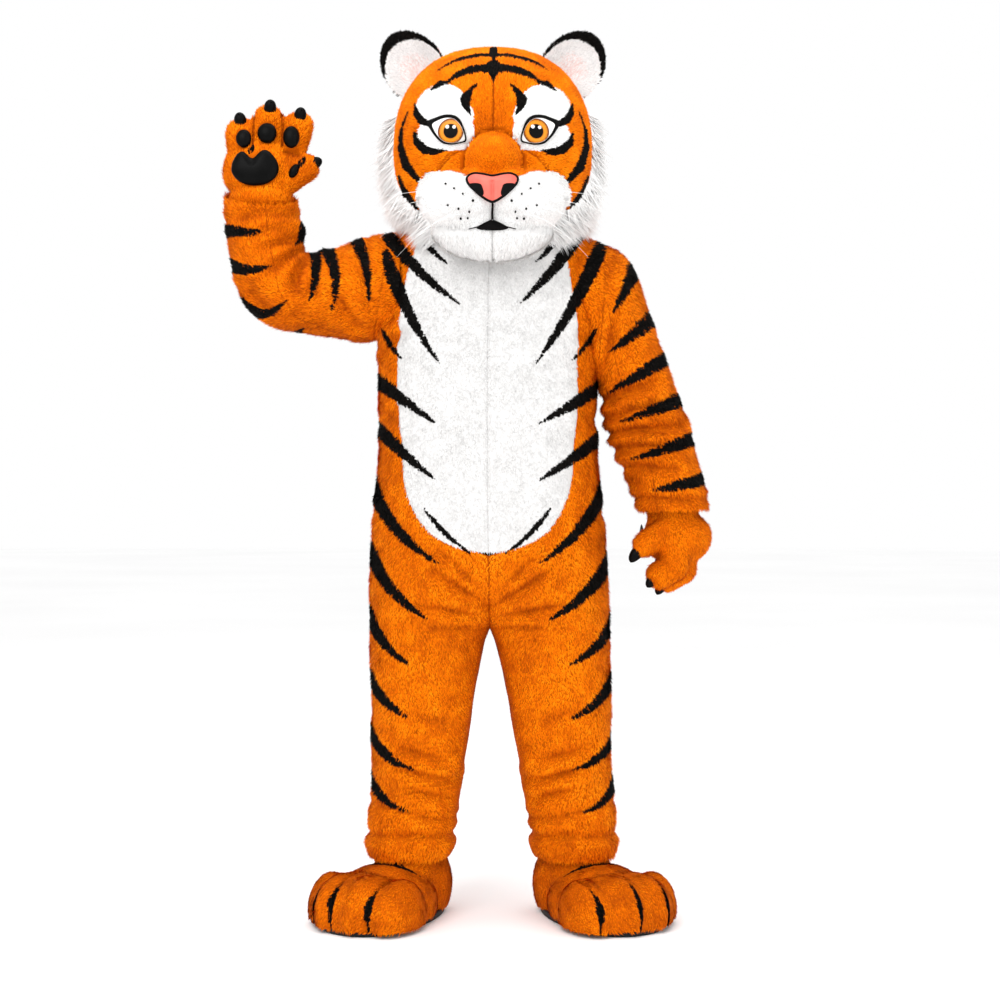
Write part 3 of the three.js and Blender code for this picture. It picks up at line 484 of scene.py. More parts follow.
def angleAt(z, reach):
    row = bodyRow(z)
    cosine = signedPower((reach - row["centre"]) / row["radius"], 1 / suitLook["squareness"])
    edge = math.pi - suitLook["seam"] / 2 / row["depth"]
    return np.where(cosine > -1, np.arccos(np.clip(cosine, -1, 1)), edge)


# Creases of the body: soft troughs between two places on the front or the back, for both sides
bodyCreases = table("x z endX endZ deep wide", [
    (10, 672, 120, 746, 14, 12), (14, 650, 150, 672, 12, 11), (20, 704, 96, 776, 11, 11),
    (24, 628, 120, 622, 9, 12), (100, 342, 205, 372, 11, 13), (84, 300, 190, 326, 14, 12),
    (92, 262, 172, 286, 11, 10), (90, 420, 180, 450, 7, 15), (120, 226, 262, 246, 6, 10),
    (76, 214, 160, 226, 8, 9), (140, 186, 268, 178, 6, 9), (80, 176, 168, 188, 6, 9),
    (190, 830, 238, 868, 6, 15), (196, 1080, 236, 1052, 5, 16), (192, 1240, 234, 1222, 8, 14),
    (186, 1400, 216, 1270, 7, 11)])


def creaseFar(places, crease):
    # how far along a crease each place is, as a share, and how far from it
    a, b = np.array([crease["x"], crease["z"]]), np.array([crease["endX"], crease["endZ"]])
    t = np.clip((places - a) @ (b - a) / ((b - a) @ (b - a)), 0, 1)
    return t, np.linalg.norm(places - a - t[:, None] * (b - a), axis=1)


def creased(points, normals, creases, seed):
    # moves points in along the troughs and leaves the cloth slightly uneven
    places = np.stack([np.abs(points[:, 0]), points[:, 2]], 1)
    push = 2.2 * cloud(points, 90, seed) + 1.0 * cloud(points, 36, seed + 1)
    for i, crease in enumerate(creases):
        near, far = creaseFar(places, crease)
        far = far / crease["wide"]
        side = np.where(points[:, 0] > 0, 1.0, 0.82 if i % 2 else 1.15)
        push -= crease["deep"] * side * np.exp(-far ** 2) * (0.4 + 0.6 * np.sin(math.pi * near))
        push += 0.45 * crease["deep"] * np.exp(-(far - 1.7) ** 2)
    return points + normals * push[:, None]


def bodyGrid(hand, low, high, fromAngle, toAngle, across, step):
    z = np.linspace(low, high, int((high - low) / step) + 2)[:, None]
    share = np.linspace(0, 1, across + 1)[None, :]
    angle = fromAngle(z) + (toAngle(z) - fromAngle(z)) * share
    row = {key: value + 0 * share for key, value in bodyRow(z).items()}
    power = suitLook["squareness"]
    x = row["mid"] + hand * (row["centre"] + row["radius"] * signedPower(np.cos(angle), power))
    y = row["back"] + row["depth"] * signedPower(np.sin(angle), power)
    points = np.stack([x, y, z + 0 * x], -1)
    inside = np.stack([row["mid"] + hand * row["centre"], row["back"] + 0 * x, z + 0 * x], -1)
    flat = gridSkin(points, inside)
    moved = creased(flat["points"], flat["normals"], bodyCreases, 3).reshape(points.shape)
    return gridSkin(moved, inside)


def sideSeam(z):
    return suitLook["seam"] / 2 / smoothAt(bodyRows, "depth", z)


def bellyEdge(z):
    return np.where(z > suitLook["bellyLow"], smoothAt(bellyRows, "half", z), 0)


# Sleeves: rings with an under and an upper point, as in the front view
raisedRings = table("t underX underZ upperX upperZ y deep dip", [
    (0, -150, 1248, -150, 1466, 12, 98, 0), (1, -215, 1243, -222, 1464, 12, 99, 0),
    (2, -275, 1236, -285, 1449, 10, 96, 0), (3, -345, 1242, -345, 1425, 6, 91, 0),
    (4, -408, 1250, -385, 1417, 2, 87, 0), (5, -470, 1267, -401, 1418, -2, 84, 0),
    (6, -518, 1303, -407, 1426, -5, 82, 0), (7, -543, 1353, -409, 1440, -8, 81, 4),
    (8, -557, 1405, -407, 1462, -12, 80, 10), (9, -565, 1455, -409, 1488, -16, 79, 18),
    (10, -570, 1508, -414, 1514, -20, 78, 24), (11, -571, 1541, -415, 1530, -20, 78, 28)])
loweredRings = table("t underX underZ upperX upperZ y deep dip", [
    (0, 120, 1290, 150, 1460, 12, 88, 0), (1, 150, 1258, 222, 1449, 12, 96, 0),
    (2, 186, 1222, 299, 1399, 11, 98, 0), (3, 214, 1176, 340, 1284, 8, 97, 0),
    (4, 234, 1128, 378, 1184, 5, 93, 0), (5, 247, 1078, 400, 1112, 2, 89, 0),
    (6, 258, 1026, 423, 1044, 0, 86, 0), (7, 280, 970, 440, 982, -4, 82, 0),
    (8, 301, 915, 455, 922, -8, 79, 0), (9, 317, 868, 462, 872, -10, 76, 0)])
# Creases of the sleeves, in x and z, as in the front view
raisedCreases = table("x z endX endZ deep wide", [
    (386, 1420, 418, 1330, 11, 12), (398, 1428, 462, 1370, 10, 11), (404, 1446, 480, 1418, 7, 11),
    (372, 1412, 366, 1320, 13, 12), (462, 1286, 524, 1350, 10, 14), (280, 1260, 330, 1330, 11, 13),
    (248, 1300, 276, 1400, 10, 11), (262, 1456, 256, 1400, 5, 10), (415, 1492, 560, 1484, 6, 11),
    (425, 1462, 520, 1440, 5, 10)])
loweredCreases = table("x z endX endZ deep wide", [
    (262, 1070, 370, 1098, 12, 12), (258, 1036, 400, 1050, 14, 11), (270, 1006, 400, 1004, 12, 11),
    (286, 962, 390, 958, 11, 11), (246, 1108, 350, 1142, 12, 12), (236, 1180, 262, 1280, 11, 12),
    (262, 1190, 320, 1256, 9, 13), (310, 896, 450, 893, 9, 9), (240, 1330, 262, 1410, 5, 10)])


def sleeveRing(rings, t):
    row = {key: smoothAt(rings, key, t, at="t") for key in rings[0] if key != "t"}
    under = np.stack([row["underX"], row["y"], row["underZ"]], -1)
    upper = np.stack([row["upperX"], row["y"], row["upperZ"]], -1)
    return (under + upper) / 2, (upper - under) / 2, row["deep"], row["dip"]


def sleeveSkin(rings, creases, seed, start=0.6, around=48, along=64):
    t = np.linspace(start, rings[-1]["t"], along)[:, None]
    turn = np.linspace(0, 2 * math.pi, around, endpoint=False)[None, :]
    middle, up, deep, dip = sleeveRing(rings, t + 0 * turn)
    front = np.sin(turn)
    points = middle + up * np.cos(turn)[..., None]
    points[..., 1] -= front * deep
    points[..., 2] -= front * dip
    flat = gridSkin(points, middle, closed=True)
    moved = creased(flat["points"], flat["normals"], creases, seed).reshape(points.shape)
    return gridSkin(moved, middle, closed=True)


def insideSleeve(points, rings, shrink=7):
    middle, up, deep, dip = sleeveRing(rings, np.linspace(0, 3, 40))
    inside = np.zeros(len(points), bool)
    span = np.gradient(middle, axis=0)
    for m, u, d, s in zip(middle, up, deep, unit(span)):
        reach = np.linalg.norm(u)
        out = points - m
        near = np.abs(out @ s) < 5
        a = out @ (u / reach) / (reach - shrink)
        b = out[:, 1] / (d - shrink)
        inside |= near & (a * a + b * b < 1)
    return inside


def insideBody(points, grow=0):
    row = bodyRow(points[:, 2])
    power = 2 / suitLook["squareness"]
    a = np.abs(points[:, 0] - row["mid"]) / (row["side"] + grow)
    b = np.abs(points[:, 1] - row["back"]) / (row["depth"] + grow)
    return a ** power + b ** power < 1


# Stripes of the suit, in x from the middle line and z: base, tip, width and sag
frontStripes = {
    1: bowedStrokes(
        (136, 1440, 94, 1390, 13, 3, 0.6), (188, 1462, 61, 1302, 29, 9),
        (240, 1450, 93, 1176, 33, 11, 0.55), (220, 1250, 170, 1185, 11, 4, 0.2),
        (236, 1134, 100, 1050, 28, 2), (246, 1036, 99, 932, 29, 4), (252, 934, 100, 760, 32, 18),
        (122, 872, 28, 780, 13, 7, 0.15), (262, 772, 119, 642, 32, 13), (266, 640, 165, 548, 28, 12),
        (264, 514, 168, 434, 26, 10), (268, 386, 171, 325, 25, 10), (270, 296, 195, 235, 24, 12)),
    -1: bowedStrokes(
        (146, 1440, 90, 1384, 13, 3, 0.6), (218, 1452, 66, 1300, 27, 10),
        (222, 1412, 108, 1176, 31, 12, 0.5), (232, 1254, 186, 1186, 12, 5, 0.2),
        (256, 1154, 115, 1051, 28, 1), (250, 1050, 116, 934, 28, 3), (258, 930, 108, 760, 31, 22),
        (140, 874, 45, 782, 13, 6, 0.15), (262, 784, 133, 645, 31, 15), (264, 652, 171, 548, 28, 12),
        (264, 518, 169, 434, 26, 11), (264, 402, 164, 326, 25, 12), (266, 304, 176, 236, 24, 12)),
}
backStripes = bowedStrokes(
    (232, 1440, 26, 1392, 32, 6), (246, 1340, 22, 1290, 32, 6), (236, 1240, 60, 1190, 24, 5),
    (256, 1146, 22, 1084, 30, 8), (252, 1044, 30, 976, 30, 8), (258, 932, 24, 850, 32, 10),
    (264, 778, 66, 706, 31, 12), (266, 646, 92, 590, 28, 10), (266, 516, 92, 470, 26, 8),
    (268, 394, 100, 352, 25, 8), (270, 300, 116, 262, 23, 7))
# the sewn lines round each armhole and down the front of each sleeve, drawn as a line of painted shade in
# the pile
armholeSeams = {
    "right": seamLine([(-219, 1470), (-221, 1400), (-236, 1310), (-254, 1225)], 1.3),
    "left": seamLine([(238, 1460), (241, 1380), (235, 1290), (228, 1190)], 1.3),
}
sleeveSeams = {
    "right": seamLine([(-476, 1520), (-470, 1470), (-463, 1418), (-447, 1331), (-414, 1277), (-340, 1250),
                       (-250, 1230)], 1.1),
    "left": seamLine([(246, 1300), (262, 1180), (300, 1060), (336, 960), (350, 868)], 1.1),
}
raisedStripes = bowedStrokes(
    (-575, 1466, -478, 1455, 24, -6), (-566, 1396, -463, 1382, 26, -13),
    (-535, 1312, -428, 1314, 22, -26), (-398, 1484, -416, 1432, 14, 4),
    (-382, 1442, -382, 1310, 25, 12), (-362, 1444, -336, 1290, 26, 20),
    (-300, 1466, -259, 1310, 27, 14), (-500, 1245, -400, 1256, 20, -8))
loweredStripes = bowedStrokes(
    (312, 1400, 256, 1286, 31, 4), (356, 1292, 248, 1204, 32, 5), (394, 1206, 246, 1118, 31, 2),
    (422, 1114, 272, 1057, 30, 3), (448, 1028, 296, 978, 29, 3), (470, 942, 330, 910, 28, 3))
# the body's stripes that run on over the front of each sleeve
shoulderStripes = {
    "right": bowedStrokes((-218, 1452, -66, 1300, 27, -10), (-222, 1412, -108, 1176, 31, -12, 0.5)),
    "left": bowedStrokes((188, 1462, 61, 1302, 29, 9), (240, 1450, 93, 1176, 33, 11, 0.55),
                         (220, 1250, 170, 1185, 11, 4, 0.2)),
}


def suitBlack(root, margin=0.0):
    places = root[:, [0, 2]].copy()
    hand = places[:, 0] > smoothAt(bodyRows, "mid", root[:, 2])
    places[:, 0] = np.abs(places[:, 0])
    ragged = 0.9 * cloud(root, 7, 31) + margin
    front = root[:, 1] < smoothAt(bodyRows, "back", root[:, 2])
    black = np.zeros(len(root), bool)
    for mask, group in ((front & hand, frontStripes[1]), (front & ~hand, frontStripes[-1]),
                        (~front, backStripes)):
        spots = places[mask]
        if len(spots):
            black[mask] = inkDepth(spots, group) > ragged[mask]
    return black


def flatBlack(root, strokes, margin=0.0):
    places = root[:, [0, 2]]
    return inkDepth(places, strokes) > 0.9 * cloud(root, 7, 33) + margin


def sleeveBlack(root, side, strokes, margin):
    over = flatBlack(root, shoulderStripes[side], margin) & (root[:, 1] < 12)
    return over | flatBlack(root, strokes, margin)


def creaseShade(root, creases):
    # how deep in a crease each place is, from 0 to about 1, for the painted shade in the creases
    places = np.stack([np.abs(root[:, 0]), root[:, 2]], 1)
    deep = np.zeros(len(root))
    for crease in creases:
        near, far = creaseFar(places, crease)
        far = far / (crease["wide"] * 0.62)
        shape = np.exp(-far ** 2) * (0.3 + 0.7 * np.sin(math.pi * near))
        deep = np.maximum(deep, crease["deep"] / 12 * shape)
    return deep


def nearSeam(root):
    # the parting along the middle seams, where darker strands give painted shade
    return np.abs(root[:, 0] - smoothAt(bodyRows, "mid", root[:, 2])) < 1.3


def suitShade(root, rng):
    # painted shade: the pile turns a darker orange in the body's creases
    level = 2.5 - 1.9 * creaseShade(root, bodyCreases)
    plain = np.where(nearSeam(root), 0, orangeShade(root, rng, level=level))
    return np.where(suitBlack(root, -1.4), blackShade(root, rng), plain)


def bellyShade(root, rng):
    plain = np.where(nearSeam(root), whiteFirst, whiteShade(root, rng, 1.0))
    return np.where(suitBlack(root, -1), blackShade(root, rng), plain)


def down(root):
    return np.tile([0.0, -0.25, -1.0], (len(root), 1))


def alongSleeve(rings):
    middle, up, deep, dip = sleeveRing(rings, np.linspace(0, rings[-1]["t"], 60))
    span = unit(np.gradient(middle, axis=0))

    def comb(root):
        away = np.linalg.norm(root[:, None, :] - middle[None, :, :], axis=2)
        return span[np.argmin(away, axis=1)]
    return comb


# The pile is worn short where the legs rub together
thighWear = {"top": 690, "fade": 60, "reach": 26, "share": 0.75}


def thighTrim(root):
    row = bodyRow(root[:, 2])
    away = np.abs(root[:, 0] - row["mid"]) - row["gap"]
    low = np.clip((thighWear["top"] - root[:, 2]) / thighWear["fade"], 0, 1)
    return 1 - low * np.clip(1 - away / thighWear["reach"], 0, 1) * thighWear["share"]


suitFur = {"front": 47000, "back": 33000, "sleeve": 39000, "belly": 29000}
plushLook = {"long": 10, "wide": 2.8, "lift": 21, "stray": 20, "swing": 30}
legLook = dict(plushLook, trim=thighTrim)
bellyLook = {"long": 6.5, "wide": 2.3, "lift": 15, "swing": 14, "stray": 22, "relief": 0.25,
             "ink": 3}


def sewPanel(name, node, skin, black, plain, look, comb, shade, seed):
    # stretched cloth, with its pile
    cloth = addPiece(name, skin, backings, [node], np.where(black, 1, plain), thick=suitLook["cloth"])
    fur = growFur(name + "Fur", skin, look, comb, shade, seed)
    print(name, "area", round(area(skin), 3))


def buildSuit():
    edge = suitLook
    seam = edge["seam"] / 2

    def backEdge(z):
        return angleAt(z, np.where(z >= edge["zipLow"], edge["zipHalf"] + edge["seam"], seam))

    for hand, side, rings, strokes, creases in (
            (1, "left", loweredRings, loweredStripes, loweredCreases),
            (-1, "right", raisedRings, raisedStripes, raisedCreases)):
        front = bodyGrid(hand, edge["hem"], edge["neck"], lambda z: -angleAt(z, bellyEdge(z) + seam),
                         lambda z: -sideSeam(z), edge["across"], edge["step"])
        back = bodyGrid(hand, edge["hem"], edge["neck"], sideSeam, backEdge, edge["across"], edge["step"])
        belly = bodyGrid(hand, edge["bellyLow"] + 1.5, edge["neck"], lambda z: -angleAt(z, seam + 0 * z),
                         lambda z: -angleAt(z, bellyEdge(z) - seam), 30, 6)
        for panel, skin, plain, look, shade, slot, flat, cut in (
                ("front", front, 0, legLook, suitShade, "orange_plush", (0.36, 1.46), 0.30),
                ("back", back, 0, legLook, suitShade, "orange_plush", (0.42, 1.46), 0.48),
                ("belly", belly, 2, bellyLook, bellyShade, "white_plush", (0.21, 0.76), 0.135)):
            if panel != "belly":
                skin = kept(skin, ~insideSleeve(middles(skin), rings))
            sewPanel(panel + side.capitalize(), panel + "_" + side, skin, suitBlack(middles(skin), 0.8),
                     plain, dict(look, count=suitFur[panel]), down, shade, 11 + hand)
        skin = sleeveSkin(rings, creases, 7)
        skin = kept(skin, ~insideBody(middles(skin), -6))

        def sleeveShade(root, rng):
            black = sleeveBlack(root, side, strokes, -1.4)
            places = root[:, [0, 2]]
            # painted shade: darker strands along the sleeve's seam and round the armhole
            seamShade = (strokeGap(places, sleeveSeams[side]) > 0) & (root[:, 1] < 0)
            seamShade |= strokeGap(places, armholeSeams[side]) > 0
            # painted shade: the sleeve's pile is set a darker orange than the body's, and darker still in
            # its creases
            level = 2.1 - 1.9 * creaseShade(root, creases)
            plain = np.where(seamShade, 0, orangeShade(root, rng, level=level))
            return np.where(black, blackShade(root, rng), plain)

        sewPanel("sleeve" + side.capitalize(), "sleeve_" + side, skin,
                 sleeveBlack(middles(skin), side, strokes, 1), 0, dict(plushLook, count=suitFur["sleeve"]),
                 alongSleeve(rings), sleeveShade, 21 + hand)
    print("suit made")


zipLook = {"pitch": 3.2, "aside": 0.9, "proud": 0.8, "tooth": [1.3, 0.8, 0.9]}


def buildZip():
    z = np.linspace(suitLook["zipLow"], suitLook["neck"], 70)[:, None]
    share = np.linspace(-1, 1, 5)[None, :]
    row = bodyRow(z)
    x = row["mid"] + share * suitLook["zipHalf"]
    y = row["back"] + row["depth"] + 0 * x
    points = np.stack([x, y, z + 0 * x], -1)
    skin = gridSkin(points, np.stack([x, 0 * x, z + 0 * x], -1))
    strip = addPiece("backZip", skin, [orangeBacking], ["back_zip"], thick=3)
    # two rows of small teeth lie under the pile's edge
    points, faces = [], []
    corners = np.array(list(itertools.product((-1, 1), repeat=3))) * zipLook["tooth"]
    for i, high in enumerate(np.arange(suitLook["zipLow"] + 4, suitLook["neck"] - 4, zipLook["pitch"])):
        side = zipLook["aside"] if i % 2 else -zipLook["aside"]
        here = bodyRow(np.array([high]))
        y = here["back"][0] + here["depth"][0] + zipLook["proud"]
        middle = np.array([here["mid"][0] + side, y, high])
        faces += [[len(points) + k for k in quad] for quad in (
            (0, 1, 3, 2), (4, 6, 7, 5), (0, 4, 5, 1), (2, 3, 7, 6), (0, 2, 6, 4), (1, 5, 7, 3))]
        points += [middle + corner for corner in corners]
    teeth = addPiece("zipTeeth", {"points": np.array(points), "faces": faces}, [noseLine])
    print("zip made")


buildSuit()
buildZip()

# Head
headForm = {"x": 3, "y": -15, "z": 1629, "wide": 210, "deep": 208, "high": 221, "square": 2.35}
faceX = 5
headBodies = [headForm] + table("x y z wide deep high", [
    (faceX - 1, -196, 1580, 62, 84, 56), (faceX - 2, -196, 1456, 132, 72, 78),
    (faceX, -60, 1468, 150, 120, 62)])
for hand in (1, -1):
    headBodies += table("x y z wide deep high lean", [
        (faceX - 2 + hand * 74, -214, 1500, 84, 84, 62, hand * 8),
        (faceX - 2 + hand * 34, -246, 1506, 46, 58, 50, 0)])

# Painted marks of the face: x from its middle line, z, and half width
faceMarks = [table("x z half", rows) for rows in [
    [(0, 1812, 5), (30, 1812, 5), (60, 1806, 4.5), (88, 1796, 3.5), (115, 1780, 0.5)],
    [(0, 1776, 14), (25, 1777, 9), (50, 1773, 9), (74, 1763, 7), (96, 1749, 1)],
    [(90, 1748, 3), (110, 1746, 7), (128, 1734, 2)],
    [(34, 1740, 1), (48, 1725, 6), (57, 1708, 11), (55, 1692, 8), (46, 1674, 1)],
    [(163, 1712, 1), (160, 1690, 6.5), (150, 1672, 7.5), (134, 1662, 6), (116, 1657, 4)],
    [(163, 1648, 2), (157, 1627, 7), (140, 1609, 8.5), (118, 1602, 6.5), (96, 1604, 1)],
    [(178, 1698, 1), (192, 1664, 4), (194, 1631, 6.5), (182, 1586, 9), (150, 1545, 4)],
    [(199, 1572, 2), (187, 1535, 7), (166, 1503, 7.5), (146, 1478, 2)]]]
crownMark = table("x z half", [
    (0, 1836, 8), (0, 1814, 9), (0, 1799, 3), (0, 1780, 17), (0, 1766, 10), (0, 1746, 1)])
# White round the eyes, as overlapping ovals
patchOvals = table("x z wide high", [
    (108, 1700, 52, 44), (92, 1672, 52, 44), (66, 1640, 27, 36), (118, 1640, 40, 36),
    (92, 1624, 48, 22)])
backMarks = bowedStrokes(
    (0, 1800, 120, 1740, 22, -10), (12, 1720, 160, 1690, 22, -12), (30, 1650, 190, 1640, 20, -10),
    (14, 1580, 170, 1590, 20, -10), (24, 1520, 140, 1535, 16, -6))


def facePlaces(root):
    return np.stack([np.abs(root[:, 0] - faceX), root[:, 2]], 1)


def isPatch(root):
    places = facePlaces(root)
    found = np.zeros(len(root), bool)
    for oval in patchOvals:
        a = (places[:, 0] - oval["x"]) / oval["wide"]
        b = (places[:, 1] - oval["z"]) / oval["high"]
        found |= a * a + b * b < 1
    return found & (root[:, 1] < -60)


def isFaceBlack(root, ragged=0.0):
    places = facePlaces(root)
    gaps = [strokeGap(places, mark) for mark in faceMarks + [crownMark]]
    front = root[:, 1] < -62
    black = front & (np.max(gaps, axis=0) > ragged)
    rear = [strokeGap(places, mark) for mark in backMarks]
    return black | ((root[:, 1] > 40) & (np.max(rear, axis=0) > ragged))


def faceTurn(points):
    return np.degrees(np.arctan2(np.abs(points[:, 0] - headForm["x"]), headForm["y"] - points[:, 1]))


headParts = {"face": 0, "jaw": 1, "back": 2, "ruff": 3, "muzzle": 4, "chin": 5, "bridge": 6}


def headPart(points):
    # which of the head's parts each point is on
    x, y, z = np.abs(points[:, 0] - faceX), points[:, 1], points[:, 2]
    turn = faceTurn(points)
    part = np.where(turn < 90, headParts["face"], headParts["back"])
    ruffFront = np.interp(z, [1430, 1480, 1530, 1600, 1680, 1720], [38, 50, 68, 80, 87, 90])
    ruffBack = np.interp(z, [1430, 1560, 1640, 1720], [118, 118, 112, 100])
    part[(turn > ruffFront) & (turn < ruffBack) & (z < 1722)] = headParts["ruff"]
    muzzleTop = np.interp(x, [0, 30, 58, 80, 110, 135, 152, 165],
                          [1520, 1530, 1543, 1553, 1565, 1563, 1550, 1520])
    muzzle = (y < -120) & (x < 160) & (z < muzzleTop) & (z > 1440) & (part != headParts["ruff"])
    part[muzzle] = headParts["muzzle"]
    part[(y < -60) & (z <= 1446) & (x < 140)] = headParts["chin"]
    bridge = (x / 60) ** 2 + ((z - 1582) / 62) ** 2 < 1
    part[bridge & (y < -200) & (z >= 1536) & (part != headParts["muzzle"])] = headParts["bridge"]
    part[(part == headParts["face"]) & (z < 1510) & (x < 150)] = headParts["jaw"]
    return part


headSkin = roundSkin(headBodies, 6.5, 7, fine=5)
print("head form made", len(headSkin["faces"]), "faces")


def neckOpen(points):
    # the opening is low in front and behind and high over the shoulders
    turn = faceTurn(points)
    low = np.interp(turn, [0, 50, 90, 130, 180], [1370, 1414, 1452, 1458, 1448])
    return points[:, 2] < low


headSkin = kept(headSkin, ~neckOpen(middles(headSkin)))
headTree = BVHTree.FromPolygons([tuple(p) for p in headSkin["points"]],
                                [tuple(int(i) for i in f) for f in headSkin["faces"]])


def onFace(x, z, lift=0.0):
    hit, normal, face, far = headTree.ray_cast((x, -900, z), (0, 1, 0))
    if hit is None:
        return np.array([x, headForm["y"], z]), np.array([0, -1.0, 0])
    normal = np.array(normal)
    if normal[1] > 0:
        normal = -normal
    return np.array(hit) + normal * lift, normal


def seamDent(skin, lines, deep, wide):
    # sinks the skin along sewn seams
    points = skin["points"]
    for line in lines:
        gap = strokeGap(points[:, [0, 2]], line)
        push = deep * np.exp(-(np.maximum(-gap, 0) / wide) ** 2) * (points[:, 1] < -80) * (gap > -90)
        points = points - skin["normals"] * push[:, None]
    return dict(skin, points=points)


def faceSeam(places, offset=0):
    return seamLine([(faceX + offset + a, z) for a, z in places])


browSeam = [(60, 1606), (88, 1592), (110, 1567)]
faceSeams = [
    faceSeam([(0, 1756), (0, 1644)]),
    faceSeam([(-62, 1556), (-62, 1590), (-50, 1618), (-28, 1636), (0, 1642), (28, 1636), (50, 1618),
              (62, 1590), (62, 1556)]),
    faceSeam([(-a, z) for a, z in browSeam]),
    faceSeam(browSeam),
    faceSeam([(0, 1500), (0, 1380)], -2),
]
# the fold under each side of the muzzle
muzzleFold = [(46, 1436), (85, 1437), (121, 1447), (146, 1468), (156, 1500)]
muzzleFolds = [faceSeam([(hand * a, z) for a, z in muzzleFold], -2) for hand in (1, -1)]
headSkin = seamDent(headSkin, faceSeams, 6, 5)
headSkin = seamDent(headSkin, muzzleFolds, 9, 10)

headFur = {
    "face": {"count": 36000, "long": 7.5, "wide": 2.1, "lift": 17, "swing": 12, "stray": 14,
             "relief": 0.35},
    "back": {"count": 33000, "long": 10, "wide": 3.0, "lift": 22},
    "jaw": {"count": 6000, "long": 16, "wide": 2.2, "lift": 24, "stray": 20},
    "muzzle": {"count": 14000, "long": 5.5, "wide": 1.8, "lift": 15, "swing": 10, "relief": 0.18},
    "chin": {"count": 11000, "long": 12, "wide": 2.0, "lift": 18, "relief": 0.2},
    "bridge": {"count": 8000, "long": 6, "wide": 1.8, "lift": 14, "swing": 8, "relief": 0.3},
    "ruff": {"count": 14500, "long": 62, "wide": 3.4, "lift": 27, "liftStray": 12, "stray": 13,
             "tuft": 34, "swing": 18, "relief": 0.2, "folded": True},
}


def fromNose(root):
    way = root - np.array([faceX, -300, 1575])
    way[:, 1] = 0
    return unit(way) + [0, 0.5, -0.1]


def upBridge(root):
    return np.stack([(root[:, 0] - faceX) * 0.006, 0 * root[:, 0], np.ones(len(root))], 1)


def outward(root):
    side = np.sign(root[:, 0] - headForm["x"])
    return np.stack([side * 0.75, 0.25 + 0 * side, -0.75 + 0 * side], 1)


def faceShade(root, rng):
    ragged = 0.7 * cloud(root, 5, 41)
    shade = np.where(nearFaceSeam(root), 0, orangeShade(root, rng, 45))
    white = isPatch(root)
    shade[white] = whiteShade(root, rng)[white]
    black = isFaceBlack(root, ragged)
    shade[black] = blackShade(root, rng)[black]
    return shade


def nearFaceSeam(root, reach=1.8):
    # painted shade: the strands along the face's seams are set darker
    return (inkDepth(root[:, [0, 2]], faceSeams) > -reach) & (root[:, 1] < -100)


def allWhite(root, rng):
    return np.where(nearFaceSeam(root, 1.2), whiteFirst, whiteShade(root, rng))


def allOrange(root, rng):
    return np.where(nearFaceSeam(root), 0, orangeShade(root, rng))


def buildHead():
    part = headPart(middles(headSkin))
    left = middles(headSkin)[:, 0] > faceX
    both = left | ~left
    pieces = (
        ("faceLeft", "face_left", "face", left, "orange_plush", fromNose, faceShade),
        ("faceRight", "face_right", "face", ~left, "orange_plush", fromNose, faceShade),
        ("jawFoam", "jaw", "jaw", both, "white_plush", down, allWhite),
        ("headBack", "head_back", "back", both, "orange_plush", down, faceShade),
        ("ruffLeft", "ruff_left", "ruff", left, "white_fur", outward, allWhite),
        ("ruffRight", "ruff_right", "ruff", ~left, "white_fur", outward, allWhite),
        ("muzzleLeft", "muzzle_left", "muzzle", left, "white_plush", fromNose, allWhite),
        ("muzzleRight", "muzzle_right", "muzzle", ~left, "white_plush", fromNose, allWhite),
        ("chinFoam", "chin", "chin", both, "white_plush", down, allWhite),
        ("bridgeFoam", "bridge", "bridge", both, "orange_plush", upBridge, allOrange))
    for i, (name, node, look, half, slot, comb, shade) in enumerate(pieces):
        skin = kept(headSkin, (part == headParts[look]) & half)
        spots = middles(skin)
        wear = np.where(isFaceBlack(spots), 1, np.where(isPatch(spots), 2, 0))
        if "white" in slot:
            wear[:] = 2
        foam = addPiece(name, skin, backings, [node], wear, thick=8)
        growFur(name + "Fur", skin, headFur[look], comb, shade, 50 + i)
        print(name, "faces", len(skin["faces"]), "area", round(area(skin), 3))


buildHead()


# Flat shapes laid on the face
def faceShape(outline, lift, dome=0.0, rings=6, surface=None):
    # outline is a closed line of x and z; the shape stands lift off the surface and domes out
    surface = surface or onFace
    outline = np.asarray(outline, float)
    middle = outline.mean(axis=0)
    points = []
    for share in np.linspace(0, 1, rings + 1)[1:]:
        for x, z in middle + (outline - middle) * share:
            points.append(surface(x, z, lift + dome * (1 - share * share))[0])
    points.append(surface(middle[0], middle[1], lift + dome)[0])
    count, last = len(outline), len(points) - 1
    faces = []
    for i in range(count):
        j = (i + 1) % count
        faces.append([last, i, j])
        for r in range(rings - 1):
            a, b = r * count, (r + 1) * count
            faces += [[a + i, b + i, b + j], [a + i, b + j, a + j]]
    points, faces = np.array(points), np.array(faces)
    corners = points[faces]
    facing = np.cross(corners[:, 1] - corners[:, 0], corners[:, 2] - corners[:, 0])[:, 1]
    faces[facing > 0] = faces[facing > 0][:, ::-1]
    return {"points": points, "faces": faces, "normals": np.tile([0, -1.0, 0], (len(points), 1))}


def ovalLine(x, z, wide, high, count=40):
    turn = np.linspace(0, 2 * math.pi, count, endpoint=False)
    return np.stack([x + wide * np.cos(turn), z + high * np.sin(turn)], 1)


def smoothLine(corners, count=48):
    # a closed smooth line through the corners
    corners = np.array(corners, float)
    size = len(corners)
    t = np.linspace(0, size, count, endpoint=False)
    i = t.astype(int)
    f = (t - i)[:, None]
    a, b, c, d = (corners[(i + k) % size] for k in (-1, 0, 1, 2))
    return 0.5 * (2 * b + (c - a) * f + (2 * a - 5 * b + 4 * c - d) * f ** 2
                  + (3 * b - a - 3 * c + d) * f ** 3)


